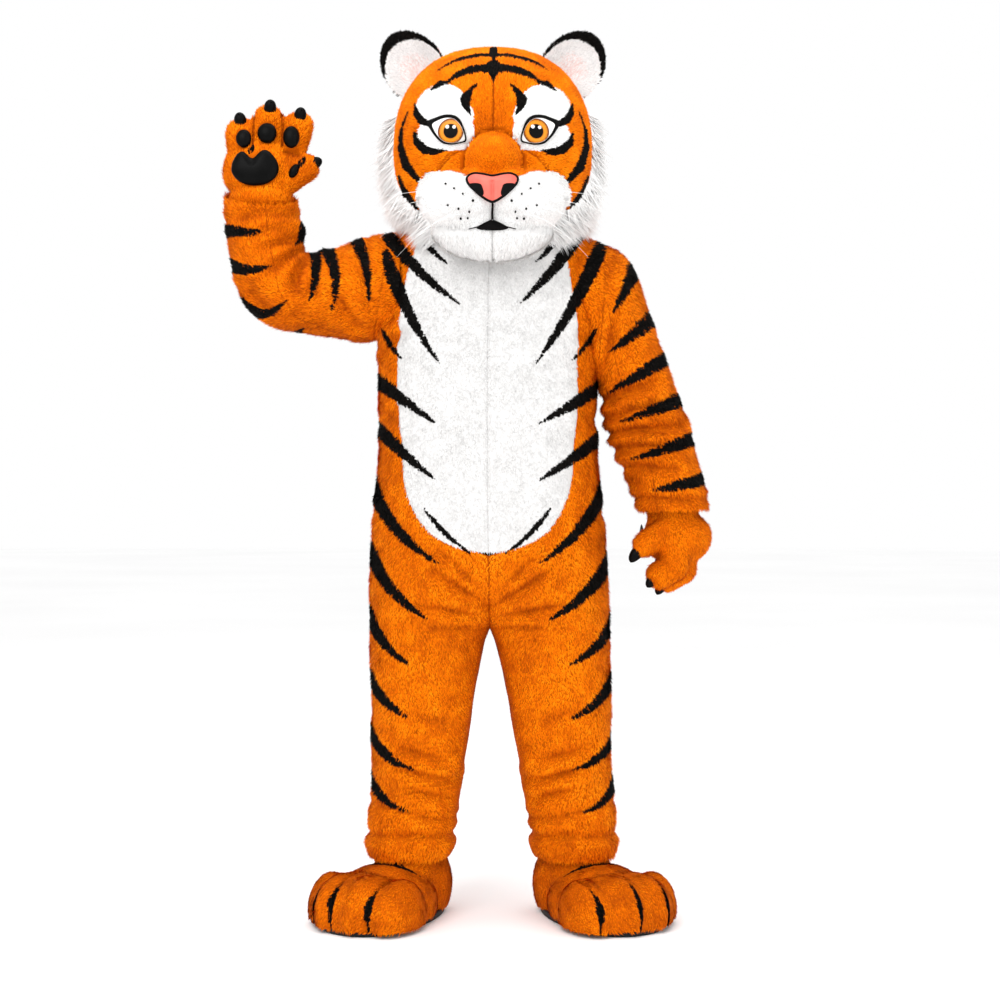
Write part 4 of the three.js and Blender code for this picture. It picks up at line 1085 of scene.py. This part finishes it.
def tubeSkin(line, radii, sides=8):
    # a round cord along a line
    line, radii = np.asarray(line, float), np.asarray(radii, float)
    way = unit(np.gradient(line, axis=0))
    side = unit(np.cross(way, [0.31, 0.2, 0.93]))
    over = np.cross(way, side)
    turn = np.linspace(0, 2 * math.pi, sides, endpoint=False)
    ring = side[:, None, :] * np.cos(turn)[None, :, None] + over[:, None, :] * np.sin(turn)[None, :, None]
    points = line[:, None, :] + ring * radii[:, None, None]
    return gridSkin(points, np.repeat(line[:, None, :], sides, axis=1), closed=True)


def joined(*skins):
    points, faces, normals, first = [], [], [], 0
    for skin in skins:
        points.append(skin["points"])
        faces.append(triangled(skin) + first)
        normals.append(skin["normals"])
        first += len(skin["points"])
    return {"points": np.vstack(points), "faces": np.vstack(faces), "normals": np.vstack(normals)}


# Eyes
eyeLook = {"x": 90, "z": 1642, "iris": 26.5, "pupil": 14.5}
# the opening's corners, x from the eye's middle (outwards) and z
lidCorners = [(35, 16), (23, 23), (8, 27), (-8, 25), (-19, 16), (-27, 2), (-32, -18), (-22, -23),
              (-6, -25), (11, -21), (23, -10), (31, 3)]
lidOuter = [(44, 23), (26, 30), (9, 34), (-10, 32), (-23, 22), (-31, 4), (-36, -22), (-23, -26),
            (-6, -28), (12, -24), (25, -12), (36, 4)]


def irisMaterial(x, z):
    # amber rays round a dark edge, measured from the eye's own middle
    material, shader = newMaterial("iris", 0.25, 0.2)
    tree = material.node_tree
    place = addNode(tree, "TexCoord")
    centre = addNode(tree, "VectorMath", "SUBTRACT")
    centre.inputs[1].default_value = (x * 0.001, 0, z * 0.001 + ground)
    flat = addNode(tree, "VectorMath", "MULTIPLY")
    flat.inputs[1].default_value = (1000 / eyeLook["iris"], 0, 1000 / eyeLook["iris"])
    reach = addNode(tree, "VectorMath", "LENGTH")
    ways = addNode(tree, "VectorMath", "NORMALIZE")
    rays = addNode(tree, "TexNoise", Scale=9, Detail=3)
    streak = addNode(tree, "Math", "MULTIPLY_ADD")
    streak.inputs[1].default_value = 0.16
    stops = addNode(tree, "ValToRGB")
    ramp = stops.color_ramp
    ramp.elements[0].position = 0.5
    ramp.elements[0].color = tone("5a2a04")
    ramp.elements[1].color = tone("6a3204")
    for position, code in ((0.6, "b86a06"), (0.76, "d8880e"), (0.92, "c07006")):
        ramp.elements.new(position).color = tone(code)
    wire(tree, (place, "Object", centre, 0), (centre, "Vector", flat, 0), (flat, "Vector", reach, 0),
         (flat, "Vector", ways, 0), (ways, "Vector", rays, "Vector"), (rays, "Fac", streak, 0),
         (reach, "Value", streak, 2), (streak, "Value", stops, "Fac"),
         (stops, "Color", shader, "Base Color"))
    return material


def buildEyes():
    for hand, side in ((1, "Left"), (-1, "Right")):
        x0, z0 = faceX + hand * eyeLook["x"], eyeLook["z"]
        base = onFace(x0, z0)[0]

        def eyeball(x, z, lift):
            # the smooth front of the eye, turned a little outwards
            a, b = x - x0, z - z0
            out = 0.0016 * (a * a + b * b) * 2.2
            return np.array([x, base[1] + out + hand * a * 0.26 - lift, z]), np.array([0, -1.0, 0])

        lid = smoothLine([(x0 + hand * a, z0 + b) for a, b in lidCorners])
        outer = smoothLine([(x0 + hand * a, z0 + b) for a, b in lidOuter])
        white = faceShape(lid, 7, surface=eyeball)
        addPiece("eyeWhite" + side, white, [eyeWhite], ["eye_" + side.lower()])
        # iris and pupil are cut off by the lids
        middle = (x0 - hand * 3, z0 - 1)
        for name, radius, lift, material in (
                ("iris", eyeLook["iris"], 7.6, irisMaterial(*middle)),
                ("pupil", eyeLook["pupil"], 8.2, vinylBlack)):
            ring = ovalLine(middle[0], middle[1], radius, radius, 56)
            addPiece(name + side, faceShape(clipped(ring, lid, middle), lift, surface=eyeball),
                     [material])
        glints = [faceShape(ovalLine(middle[0] + a, middle[1] + b, r, r, 16), 9, surface=eyeball, rings=2)
                  for a, b, r in ((-7, 9, 3.9), (7, 8, 3.6))]
        addPiece("glint" + side, joined(*glints), [eyeWhite])
        # the black rim stands round the opening
        points = []
        for p, q in zip(lid, outer):
            inner = eyeball(p[0], p[1], 7)[0]
            ledge = onFace(q[0], q[1], 4)[0]
            raised = (inner + ledge) / 2 + [0, -4, 0]
            points.append([inner, raised, ledge])
        points = np.transpose(np.array(points), (1, 0, 2))
        rim = gridSkin(points, points + [0, 30, 0], closed=True)
        addPiece("eyeRim" + side, rim, [noseLine], ["eye_rim_" + side.lower()])
        # felt under the white fur round the eye
        patch = faceShape(outer + (outer - [x0, z0]) * 0.03, 0.4, rings=4)
        pad = addPiece("eyePatch" + side, patch, [whiteBacking],
                       ["eye_patch_" + side.lower()])
        print("eye patch area", round(area(patch), 4))
    print("eyes made")


def clipped(ring, lid, middle):
    # keeps each point of the ring inside the lid's line
    middle = np.array(middle)
    result = []
    ways = np.degrees(np.arctan2(lid[:, 1] - middle[1], lid[:, 0] - middle[0]))
    far = np.linalg.norm(lid - middle, axis=1)
    order = np.argsort(ways)
    for p in ring:
        way = math.degrees(math.atan2(p[1] - middle[1], p[0] - middle[0]))
        limit = np.interp(way, ways[order], far[order], period=360)
        out = p - middle
        result.append(middle + out * min(1, (limit - 0.6) / np.linalg.norm(out)))
    return np.array(result)


buildEyes()

# Nose, lips and whiskers
noseLook = {"x": 3, "y": -292, "z": 1520, "wide": 62, "high": 46, "bulge": 12, "wing": 4.5, "groove": 4.5,
            "edge": 2.7}
noseHalf = [(20, 1540), (38, 1541), (49, 1535), (50, 1525), (41, 1512), (25, 1497), (6, 1485)]
noseCorners = [(0, 1536)] + noseHalf + [(-a, z) for a, z in reversed(noseHalf)]
nostrilCorners = [(19, 1510), (23, 1518), (34, 1520), (45, 1519), (41, 1510), (28, 1499), (19, 1496),
                  (17, 1502)]


def noseSurface(x, z, lift):
    # a rounded cushion that stands off the muzzle
    aside = x - noseLook["x"]
    a, b = aside / noseLook["wide"], (z - noseLook["z"]) / noseLook["high"]
    wing = noseLook["wing"] * math.exp(-((abs(aside) - 34) / 11) ** 2)
    groove = noseLook["groove"] * math.exp(-(aside / 3.5) ** 2) * (1 if z < 1526 else 0.3)
    y = noseLook["y"] - noseLook["bulge"] * (1 - a * a) - 4 * (1 - b * b) - wing + groove
    y += max(0, (z - 1526)) * 0.55
    return np.array([x, y - lift, z]), np.array([0, -1.0, 0])


def buildNose():
    x0 = noseLook["x"]
    line = smoothLine([(x0 + a, z) for a, z in noseCorners], 72)
    pink = faceShape(line, 0, rings=12, surface=noseSurface)
    # the edge turns back to the muzzle
    rim = np.array([noseSurface(x, z, 0)[0] for x, z in line])
    back = np.array([onFace(x, z, -2)[0] for x, z in line])
    back[:, 1] = np.maximum(back[:, 1], rim[:, 1] + 6)
    side = gridSkin(np.stack([rim, (rim + back) / 2, back]),
                    np.tile([x0, -260.0, noseLook["z"]], (3, len(rim), 1)), closed=True)
    addPiece("nosePad", joined(pink, side), [nosePink], ["nose"])
    loop = np.vstack([rim, rim[:2]])
    edge = tubeSkin(loop + [0, 0.5, 0], np.full(len(loop), noseLook["edge"]))
    holes = []
    for hand in (1, -1):
        hole = smoothLine([(x0 + hand * a, z) for a, z in nostrilCorners], 28)
        holes.append(faceShape(hole, 0.9, rings=3, surface=noseSurface))
    addPiece("noseEdge", joined(edge, *holes), [noseLine])
    print("nose made")


def laidLine(corners, lift, count=30):
    # a line through corners of x and z, laid on the face
    corners = np.array(corners, float)
    t = np.linspace(0, len(corners) - 1, count)
    x = np.interp(t, range(len(corners)), corners[:, 0])
    z = np.interp(t, range(len(corners)), corners[:, 1])
    x = np.convolve(np.pad(x, 2, "edge"), np.ones(5) / 5, "valid")
    z = np.convolve(np.pad(z, 2, "edge"), np.ones(5) / 5, "valid")
    return np.array([onFace(a, b, lift)[0] for a, b in zip(x, z)])


mouthLook = {"lift": 5.5, "lip": 2.3, "line": [(0, 1487), (-1, 1470), (0, 1452)],
             "arm": [(0, 1452), (13, 1447), (28, 1440), (48, 1436)],
             "wedge": [(15, 1446), (31, 1438), (20, 1434)]}


def buildMouth():
    x0, lift = noseLook["x"], mouthLook["lift"]
    lip = tubeSkin(laidLine([(x0 + a, z) for a, z in mouthLook["line"]], lift, 14),
                   np.full(14, mouthLook["lip"]))
    arms = []
    for hand in (1, -1):
        line = laidLine([(x0 + hand * a, z) for a, z in mouthLook["arm"]], lift)
        arms.append(tubeSkin(line, np.linspace(2.4, 0.9, len(line))))
    half = mouthLook["wedge"]
    corners = [(0, 1452)] + half + [(0, 1433)] + [(-a, z) for a, z in reversed(half)]
    wedge = smoothLine([(x0 + a, z) for a, z in corners], 40)
    dark = faceShape(wedge, lift, rings=4)
    addPiece("mouthFelt", joined(dark, lip, *arms), [mouthBlack], ["mouth"])
    print("mouth made")


whiskerLook = {"spot": 2.3, "root": 0.5, "tip": 0.15}
whiskerSpots = [(38, 1488), (58, 1500), (76, 1510), (92, 1519), (46, 1470), (68, 1474), (88, 1480),
                (64, 1458), (50, 1459)]
whiskerRoots = [(76, 1508, 170, -14), (88, 1492, 176, -38), (74, 1478, 165, -66), (64, 1464, 140, -92)]


def buildWhiskers():
    dots, hairs = [], []
    for hand in (1, -1):
        for a, z in whiskerSpots:
            spot = ovalLine(faceX - 2 + hand * a, z, whiskerLook["spot"], whiskerLook["spot"], 10)
            dots.append(faceShape(spot, 5.2, dome=0.8, rings=2))
        for a, z, reach, fall in whiskerRoots:
            start = onFace(faceX - 2 + hand * a, z, 3)[0]
            t = np.linspace(0, 1, 14)[:, None]
            line = start + t * [hand * reach * 0.72, -12, 0]
            line += (t ** 2) * [hand * reach * 0.2, 34, fall * 0.9]
            thick = np.linspace(whiskerLook["root"], whiskerLook["tip"], 14)
            hairs.append(tubeSkin(line, thick, sides=5))
    addPiece("whiskerSpots", joined(*dots), [noseLine])
    addPiece("whiskers", joined(*hairs), [whiskerNylon])
    print("whiskers made")


buildNose()
buildMouth()
buildWhiskers()

# Ears
earLook = {"x": 170, "y": -12, "z": 1818, "across": 63, "along": 74, "bowl": 22, "lean": 40, "face": 14,
           "thick": 14}
earFur = {
    "front": {"count": 7500, "long": 8, "wide": 2.1, "lift": 24, "stray": 20, "relief": 0.2},
    "back": {"count": 6000, "long": 9, "wide": 2.8, "lift": 24},
}


def earForm(hand, r, turn, layer):
    # layer 0 is the front of the bowl and 1 its back
    a = earLook["across"] * r * np.cos(turn)
    b = earLook["along"] * r * np.sin(turn) * (1 + 0.08 * np.sin(turn))
    fold = earLook["bowl"] * (1 - r ** 2.2)
    rim = earLook["thick"] * np.sqrt(np.maximum(0, 1 - r ** 6)) / 2
    y = fold + np.where(layer > 0, rim + 5, -rim)
    x, y = turned(a, y, math.radians(hand * earLook["face"]))
    x, z = turned(x, b, -math.radians(hand * earLook["lean"]))
    return np.stack([x, y, z], -1) + earMiddle(hand)


def earMiddle(hand):
    return [headForm["x"] + hand * earLook["x"], earLook["y"], earLook["z"]]


def buildEars():
    size = (22, 44)
    r = np.linspace(0.02, 1, size[0])[:, None] + np.zeros(size)
    turn = np.linspace(0, 2 * math.pi, size[1], endpoint=False)[None, :] + np.zeros(size)
    for hand, side in ((1, "left"), (-1, "right")):
        middle = earForm(hand, 0 * r, turn, np.zeros(size))

        def earPlace(root):
            # across and along the ear, as shares of its size, and how near the rim
            out = root - earMiddle(hand)
            a, b = turned(out[:, 0], out[:, 2], math.radians(hand * earLook["lean"]))
            a, b = a * hand / earLook["across"], b / earLook["along"]
            return a, b, np.hypot(a, b)

        def frontShade(root, rng):
            a, b, far = earPlace(root)
            shade = whiteShade(root, rng)
            hollow = rng.random(len(root)) < 0.75 * (1 - np.hypot(a / 0.62, (b + 0.1) / 0.66))
            shade[hollow] = pinkFirst + (rng.random(hollow.sum()) < 0.6)
            way = np.degrees(np.arctan2(a, b))
            ends = np.clip(1 - np.abs(way + 20) / 92, 0, 1) ** 0.4
            black = far > 1.02 - 0.2 * ends + 0.02 * cloud(root, 6, 61)
            shade[black] = blackShade(root, rng)[black]
            base = b < -0.78
            shade[base] = orangeShade(root, rng)[base]
            return shade

        def backShade(root, rng):
            high = earPlace(root)[1] > -0.05
            return np.where(high, blackShade(root, rng), orangeShade(root, rng))

        for look, layer, inside, shade, slot in (
                ("front", 0, middle + [0, 60, 0], frontShade, "white_plush"),
                ("back", 1, middle - [0, 60, 0], backShade, "orange_plush")):
            skin = gridSkin(earForm(hand, r, turn, np.full(size, layer)), inside, closed=True)
            a, b, far = earPlace(middles(skin))
            wear = np.where(np.hypot(a / 0.5, (b + 0.1) / 0.55) < 1, 3, 2)
            wear[(far > 0.9) & (b > 0.3)] = 1
            if look == "back":
                wear = np.where(b > -0.05, 1, 0)
            name = "ear" + look.capitalize() + side.capitalize()
            pad = addPiece(name, skin, backings, ["ear_" + look + "_" + side], wear)
            growFur(name + "Fur", skin, earFur[look], fromEarRoot(hand), shade, 71 + hand)
    print("ears made")


def fromEarRoot(hand):
    def comb(root):
        way = root - np.array([headForm["x"] + hand * 135, 0, 1770])
        way[:, 1] = 0
        return unit(way)
    return comb


buildEars()

# Mitts
padNames = ["palm_pad", "finger1_pad", "finger2_pad", "finger3_pad", "thumb_pad"]


def padTable(*rows):
    return dict(zip(padNames, table("x y z wide deep high lean", rows)))


def fingerTable(*rows):
    # from the index to the little finger, then the thumb
    return dict(zip(("finger1", "finger2", "finger3", "thumb"), table("radius joints claw", rows)))


raisedMitt = {
    "palm": table("x y z wide deep high", [
        (-491, -22, 1594, 84, 54, 76), (-491, -20, 1569, 80, 58, 24), (-492, -20, 1528, 70, 68, 40)]),
    "wrist": ([-490, -18, 1570], [-490, -16, 1440], 62),
    "fingers": fingerTable(
        (39, [[-526, -18, 1625], [-531, -30, 1668]], [-533, -60, 1702]),
        (36, [[-481, -18, 1638], [-476, -30, 1699]], [-468, -60, 1729]),
        (34, [[-430, -18, 1632], [-412, -30, 1687]], [-404, -58, 1713]),
        (31, [[-445, -28, 1566], [-396, -36, 1598]], [-371, -44, 1610])),
    "pads": padTable(
        (-498, -79, 1590, 51, 15, 37, 0), (-524, -64, 1656, 17, 10, 20, 0),
        (-475, -61, 1668, 21, 12, 22, 0), (-424, -59, 1660, 18, 12, 24, 0),
        (-418, -60, 1588, 10, 10, 17, 30)),
    "marks": bowedStrokes((-396, 1616, -424, 1584, 15, 3, 0.4), (-506, 1640, -512, 1608, 15, 0, 0.5)),
}
loweredMitt = {
    "palm": table("x y z wide deep high", [(398, -10, 812, 74, 70, 60)]),
    "wrist": ([390, -10, 830], [388, -10, 945], 56),
    "fingers": fingerTable(
        (33, [[398, -48, 790], [386, -58, 748], [359, -52, 733]], [339, -62, 719]),
        (33, [[414, -8, 790], [408, -12, 742], [379, -8, 726]], [362, -14, 704]),
        (32, [[414, 32, 795], [410, 34, 750], [382, 38, 738]], [362, 36, 718]),
        (29, [[368, -50, 830], [326, -62, 797]], [303, -66, 774])),
    "pads": padTable(
        (330, 10, 806, 12, 34, 33, 0), (346, -48, 746, 10, 15, 14, 0), (366, -4, 749, 10, 15, 13, 0),
        (364, 40, 757, 10, 15, 13, 0), (330, -37, 792, 12, 9, 11, 0)),
    "marks": [],
}
# the clefts between the raised fingers, pressed in and darkened with painted shade
fingerClefts = [seamLine(places) for places in (
    [(-506, 1722), (-504, 1640)], [(-442, 1718), (-446, 1640)], [(-410, 1622), (-440, 1632)])]
mittLook = {"claw": 13.5, "clawLong": 28}
mittFur = {"count": 22000, "long": 8.5, "wide": 2.6, "lift": 22}


def clawSkin(tip, root):
    # a hooked blunt claw that grows out of its finger
    tip, root = np.array(tip, float), np.array(root, float)
    way = unit(tip - root)
    share = np.linspace(0, 1, 14)
    line = tip + np.outer(share - 0.55, way) * mittLook["clawLong"]
    line[:, 2] -= 6 * np.maximum(share - 0.3, 0) ** 2 * 2
    radii = mittLook["claw"] * np.sqrt(np.maximum(1 - (share * 0.995) ** 2.6, 0.0004))
    return tubeSkin(line, radii, sides=16)


def padSkin(pad, notch=False):
    ball = roundSkin([dict(pad)], 3.0, 3)
    if notch:
        # the palm pad has two soft lobes along its top
        points = ball["points"]
        a = (points[:, 0] - pad["x"]) / pad["wide"]
        high = np.clip((points[:, 2] - pad["z"]) / 20, 0, 1)
        dip = 15 * np.exp(-((a + 0.12) / 0.26) ** 2)
        lobes = 7 * np.exp(-((a - 0.5) / 0.3) ** 2) + 7 * np.exp(-((a + 0.62) / 0.3) ** 2)
        points[:, 2] += (lobes - dip) * high
    return ball


def buildMitts():
    for side, mitt in (("right", raisedMitt), ("left", loweredMitt)):
        start, end, radius = mitt["wrist"]
        bodies = mitt["palm"] + bone([start, end], [radius, radius - 4])
        for finger in mitt["fingers"].values():
            joints = finger["joints"]
            bodies += bone(joints, [finger["radius"] - 2] * len(joints))
        skin = roundSkin(bodies, 5.2, 2, fine=3)
        spots = middles(skin)
        skin = kept(skin, spots[:, 2] <= 936 if side == "left" else spots[:, 2] >= 1450)
        name = "mitt" + side.capitalize()
        points = skin["points"]
        cleft = inkDepth(points[:, [0, 2]], fingerClefts)
        push = 10 * np.exp(-(cleft / 8) ** 2) * (points[:, 1] < -25)
        skin = dict(skin, points=points - skin["normals"] * push[:, None])

        def mittShade(root, rng):
            black = flatBlack(root, mitt["marks"]) & (root[:, 1] < -30)
            cleft = inkDepth(root[:, [0, 2]], fingerClefts)
            # painted shade: the pile turns a darker orange along the clefts between the fingers
            level = 2.4 - 2.6 * np.exp(-(cleft / 5) ** 2)
            return np.where(black, blackShade(root, rng), orangeShade(root, rng, level=level))

        wrist = np.array(end)

        def comb(root):
            return unit(root - wrist)
        shell = addPiece(name, skin, [orangeBacking], ["mitt_" + side], thick=4)
        growFur(name + "Fur", skin, dict(mittFur, bare=list(mitt["pads"].values())), comb, mittShade,
                81 if side == "left" else 82)
        for finger, parts in mitt["fingers"].items():
            claw = clawSkin(parts["claw"], parts["joints"][-1])
            addPiece(finger + "Claw" + side.capitalize(), claw, [vinylBlack],
                     [finger + "_claw_" + side])
        for pad, shape in mitt["pads"].items():
            addPiece(pad.replace("_pad", "Pad") + side.capitalize(), padSkin(shape, pad == "palm_pad"),
                     [vinylBlack], [pad + "_" + side])
        print(name, "made, area", round(area(skin), 3))


buildMitts()

# Foot covers, each shape in the foot's own frame: x outwards and y towards the heel
footLook = {"turn": 30, "x": 180, "y": 20, "shift": 2, "sole": 12, "cell": 6}
footBodies = table("x y z wide deep high square", [
    (0, 18, 62, 84, 82, 104, 2), (0, -92, 40, 110, 112, 81, 2), (4, -152, 30, 121, 106, 82, 2.3),
    (-84, -166, 32, 42, 80, 76, 2), (-18, -186, 34, 45, 82, 80, 2), (50, -182, 34, 43, 80, 77, 2),
    (106, -142, 32, 34, 68, 70, 2)])


# the slots between the toes: x across the foot, z the angle up from its front, in degrees
def toeSlot(x):
    return table("x z half", [(x, 4, 1.5), (x + 1, 27, 8.5), (x - 1, 54, 1)])


toeSlots = {1: [toeSlot(-92), toeSlot(-10), toeSlot(66)], -1: [toeSlot(-58), toeSlot(27), toeSlot(80)]}
instepMarks = [table("x z half", rows) for rows in [
    [(40, -98, 3), (8, -98, 7), (-36, -92, 7), (-76, -72, 1)],
    [(56, -104, 2), (76, -110, 6), (98, -118, 1)]]]


def toePlaces(own, z):
    # across the foot, and the angle up from its front
    return np.stack([own[:, 0], np.degrees(np.arctan2(z - 8, -(own[:, 1] + 140)))], 1)


def footInk(own, z, hand):
    depth = inkDepth(own, instepMarks)
    front = own[:, 1] < -150
    depth[front] = np.maximum(depth[front], inkDepth(toePlaces(own, z)[front], toeSlots[hand]))
    return depth


footFur = {"count": 27000, "long": 9, "wide": 2.8, "lift": 10, "liftStray": 5, "swing": 30}


def footPlace(points, hand):
    # from the foot's own frame to its place on the ground
    turn = math.radians(footLook["turn"])
    a, b = turned(points[:, 0], points[:, 1], turn)
    x = hand * a + hand * footLook["x"] + footLook["shift"]
    return np.stack([x, b + footLook["y"], points[:, 2]], 1)


def footOwn(points, hand):
    turn = math.radians(footLook["turn"])
    a = (points[:, 0] - footLook["shift"] - hand * footLook["x"]) * hand
    b = points[:, 1] - footLook["y"]
    return np.stack(turned(a, b, -turn), 1)


soleLook = {"heel": 92, "toe": -252, "heelHalf": 62, "toeHalf": 104, "corner": 1.5, "bulge": 2,
            "points": 90}


def soleOutline(grow=0.0):
    turn = np.linspace(0, 2 * math.pi, soleLook["points"], endpoint=False)
    share = (1 - np.cos(turn)) / 2
    half = soleLook["heelHalf"] + (soleLook["toeHalf"] - soleLook["heelHalf"]) * np.sqrt(share) + grow
    half = half * np.abs(np.sin(turn)) ** 0.75
    y = soleLook["heel"] + grow + (soleLook["toe"] - soleLook["heel"] - 2 * grow) * share
    return np.stack([half * np.sign(np.sin(turn)), y], 1)


def buildFeet():
    ankle = bone([[-8, -18, 60], [-8, -18, 172]], [70, 66])
    form = roundSkin(footBodies + ankle, footLook["cell"], 6)
    spots = middles(form)
    form = kept(form, (spots[:, 2] > footLook["sole"] + 1) & (spots[:, 2] < 176))
    for hand, side in ((1, "left"), (-1, "right")):
        # the slots between the toes are pulled in
        own = form["points"]
        grooves = [seamLine([(slot[0]["x"], 0), (slot[2]["x"] - 2, 84)]) for slot in toeSlots[hand]]
        gap = inkDepth(toePlaces(own, own[:, 2]), grooves)
        push = 8 * np.exp(-(np.maximum(-gap, 0) / 8) ** 2) * (own[:, 1] < -145)
        own = own - form["normals"] * push[:, None]
        points = footPlace(own, hand)
        normals = footPlace(own + form["normals"], hand) - points
        faces = form["faces"] if hand > 0 else form["faces"][:, ::-1]
        skin = {"points": points, "faces": faces, "normals": unit(normals)}

        def footShade(root, rng):
            black = footInk(footOwn(root, hand), root[:, 2], hand) > 0.8 * cloud(root, 7, 91)
            # painted shade: the foot covers' pile is set a darker orange than the suit's
            return np.where(black, blackShade(root, rng), orangeShade(root, rng, level=1.6))

        def comb(root):
            toe, heel = footPlace(np.array([[0.0, -260, 0], [0.0, 0, 0]]), hand)
            return unit(np.tile(toe - heel, (len(root), 1))) + [0, 0, -0.6]

        spots = middles(skin)
        wear = np.where(footInk(footOwn(spots, hand), spots[:, 2], hand) > 0, 1, 0)
        name = "foot" + side.capitalize()
        shell = addPiece(name, skin, backings, ["foot_" + side], wear, thick=6)
        growFur(name + "Fur", skin, footFur, comb, footShade, 95 + hand)
        # the sole is a rubber slab with a rounded edge
        top, corner = footLook["sole"], soleLook["corner"]
        layers = [np.column_stack([soleOutline(grow), np.full(soleLook["points"], z)]) for z, grow in (
            (0, 0), (corner, soleLook["bulge"]), (top - corner, soleLook["bulge"]), (top, 0))]
        caps = [np.column_stack([soleOutline() * 0.02 + [0, -80 * 0.98], np.full(soleLook["points"], z)])
                for z in (0, top)]
        stack = np.array([caps[0]] + layers + [caps[1]])
        shape = stack.shape
        grid = footPlace(stack.reshape(-1, 3), hand).reshape(shape)
        middle = np.broadcast_to(footPlace(np.array([[0.0, -80, 6]]), hand)[0], shape)
        addPiece("sole" + side.capitalize(), gridSkin(grid, middle, closed=True), [soleRubber],
                 ["sole_" + side])
    print("feet made, area", round(area(form), 3))


buildFeet()


# Floor, light and background
stageLook = {
    "floor": 30000, "background": 1.0, "aim": [0, 0, 950],
    "lamps": {"key": {"at": (-1500, -3200, 3000), "size": 2.4, "power": 80},
              "fill": {"at": (2300, -2800, 1900), "size": 2.8, "power": 34},
              "top": {"at": (0, -300, 3800), "size": 2.5, "power": 34}},
}


def buildStage():
    far = stageLook["floor"]
    corners = [[-far, -far, 0], [far, -far, 0], [far, far, 0], [-far, far, 0]]
    paint = mottled("floorPaint", ["fbfbfb", "ffffff"], 2.0, 0.9, bump=0.02, grain=40)
    makeMesh("floor", {"points": corners, "faces": [[0, 1, 2, 3]]}, [paint])
    world = bpy.data.worlds.new("studio")
    world.use_nodes = True
    sky = world.node_tree.nodes["Background"]
    sky.inputs["Color"].default_value = (1, 1, 1, 1)
    sky.inputs["Strength"].default_value = stageLook["background"]
    scene.world = world
    for name, lamp in stageLook["lamps"].items():
        light = bpy.data.lights.new(name, "AREA")
        light.size = lamp["size"]
        light.energy = lamp["power"]
        stand = bpy.data.objects.new(name, light)
        stand.location = toFrame(lamp["at"])
        aim = toFrame(stageLook["aim"]) - np.array(stand.location)
        stand.rotation_euler = Vector(aim).to_track_quat("-Z", "Y").to_euler()
        scene.collection.objects.link(stand)
    scene.view_settings.view_transform = "Standard"
    print("stage made")


buildStage()
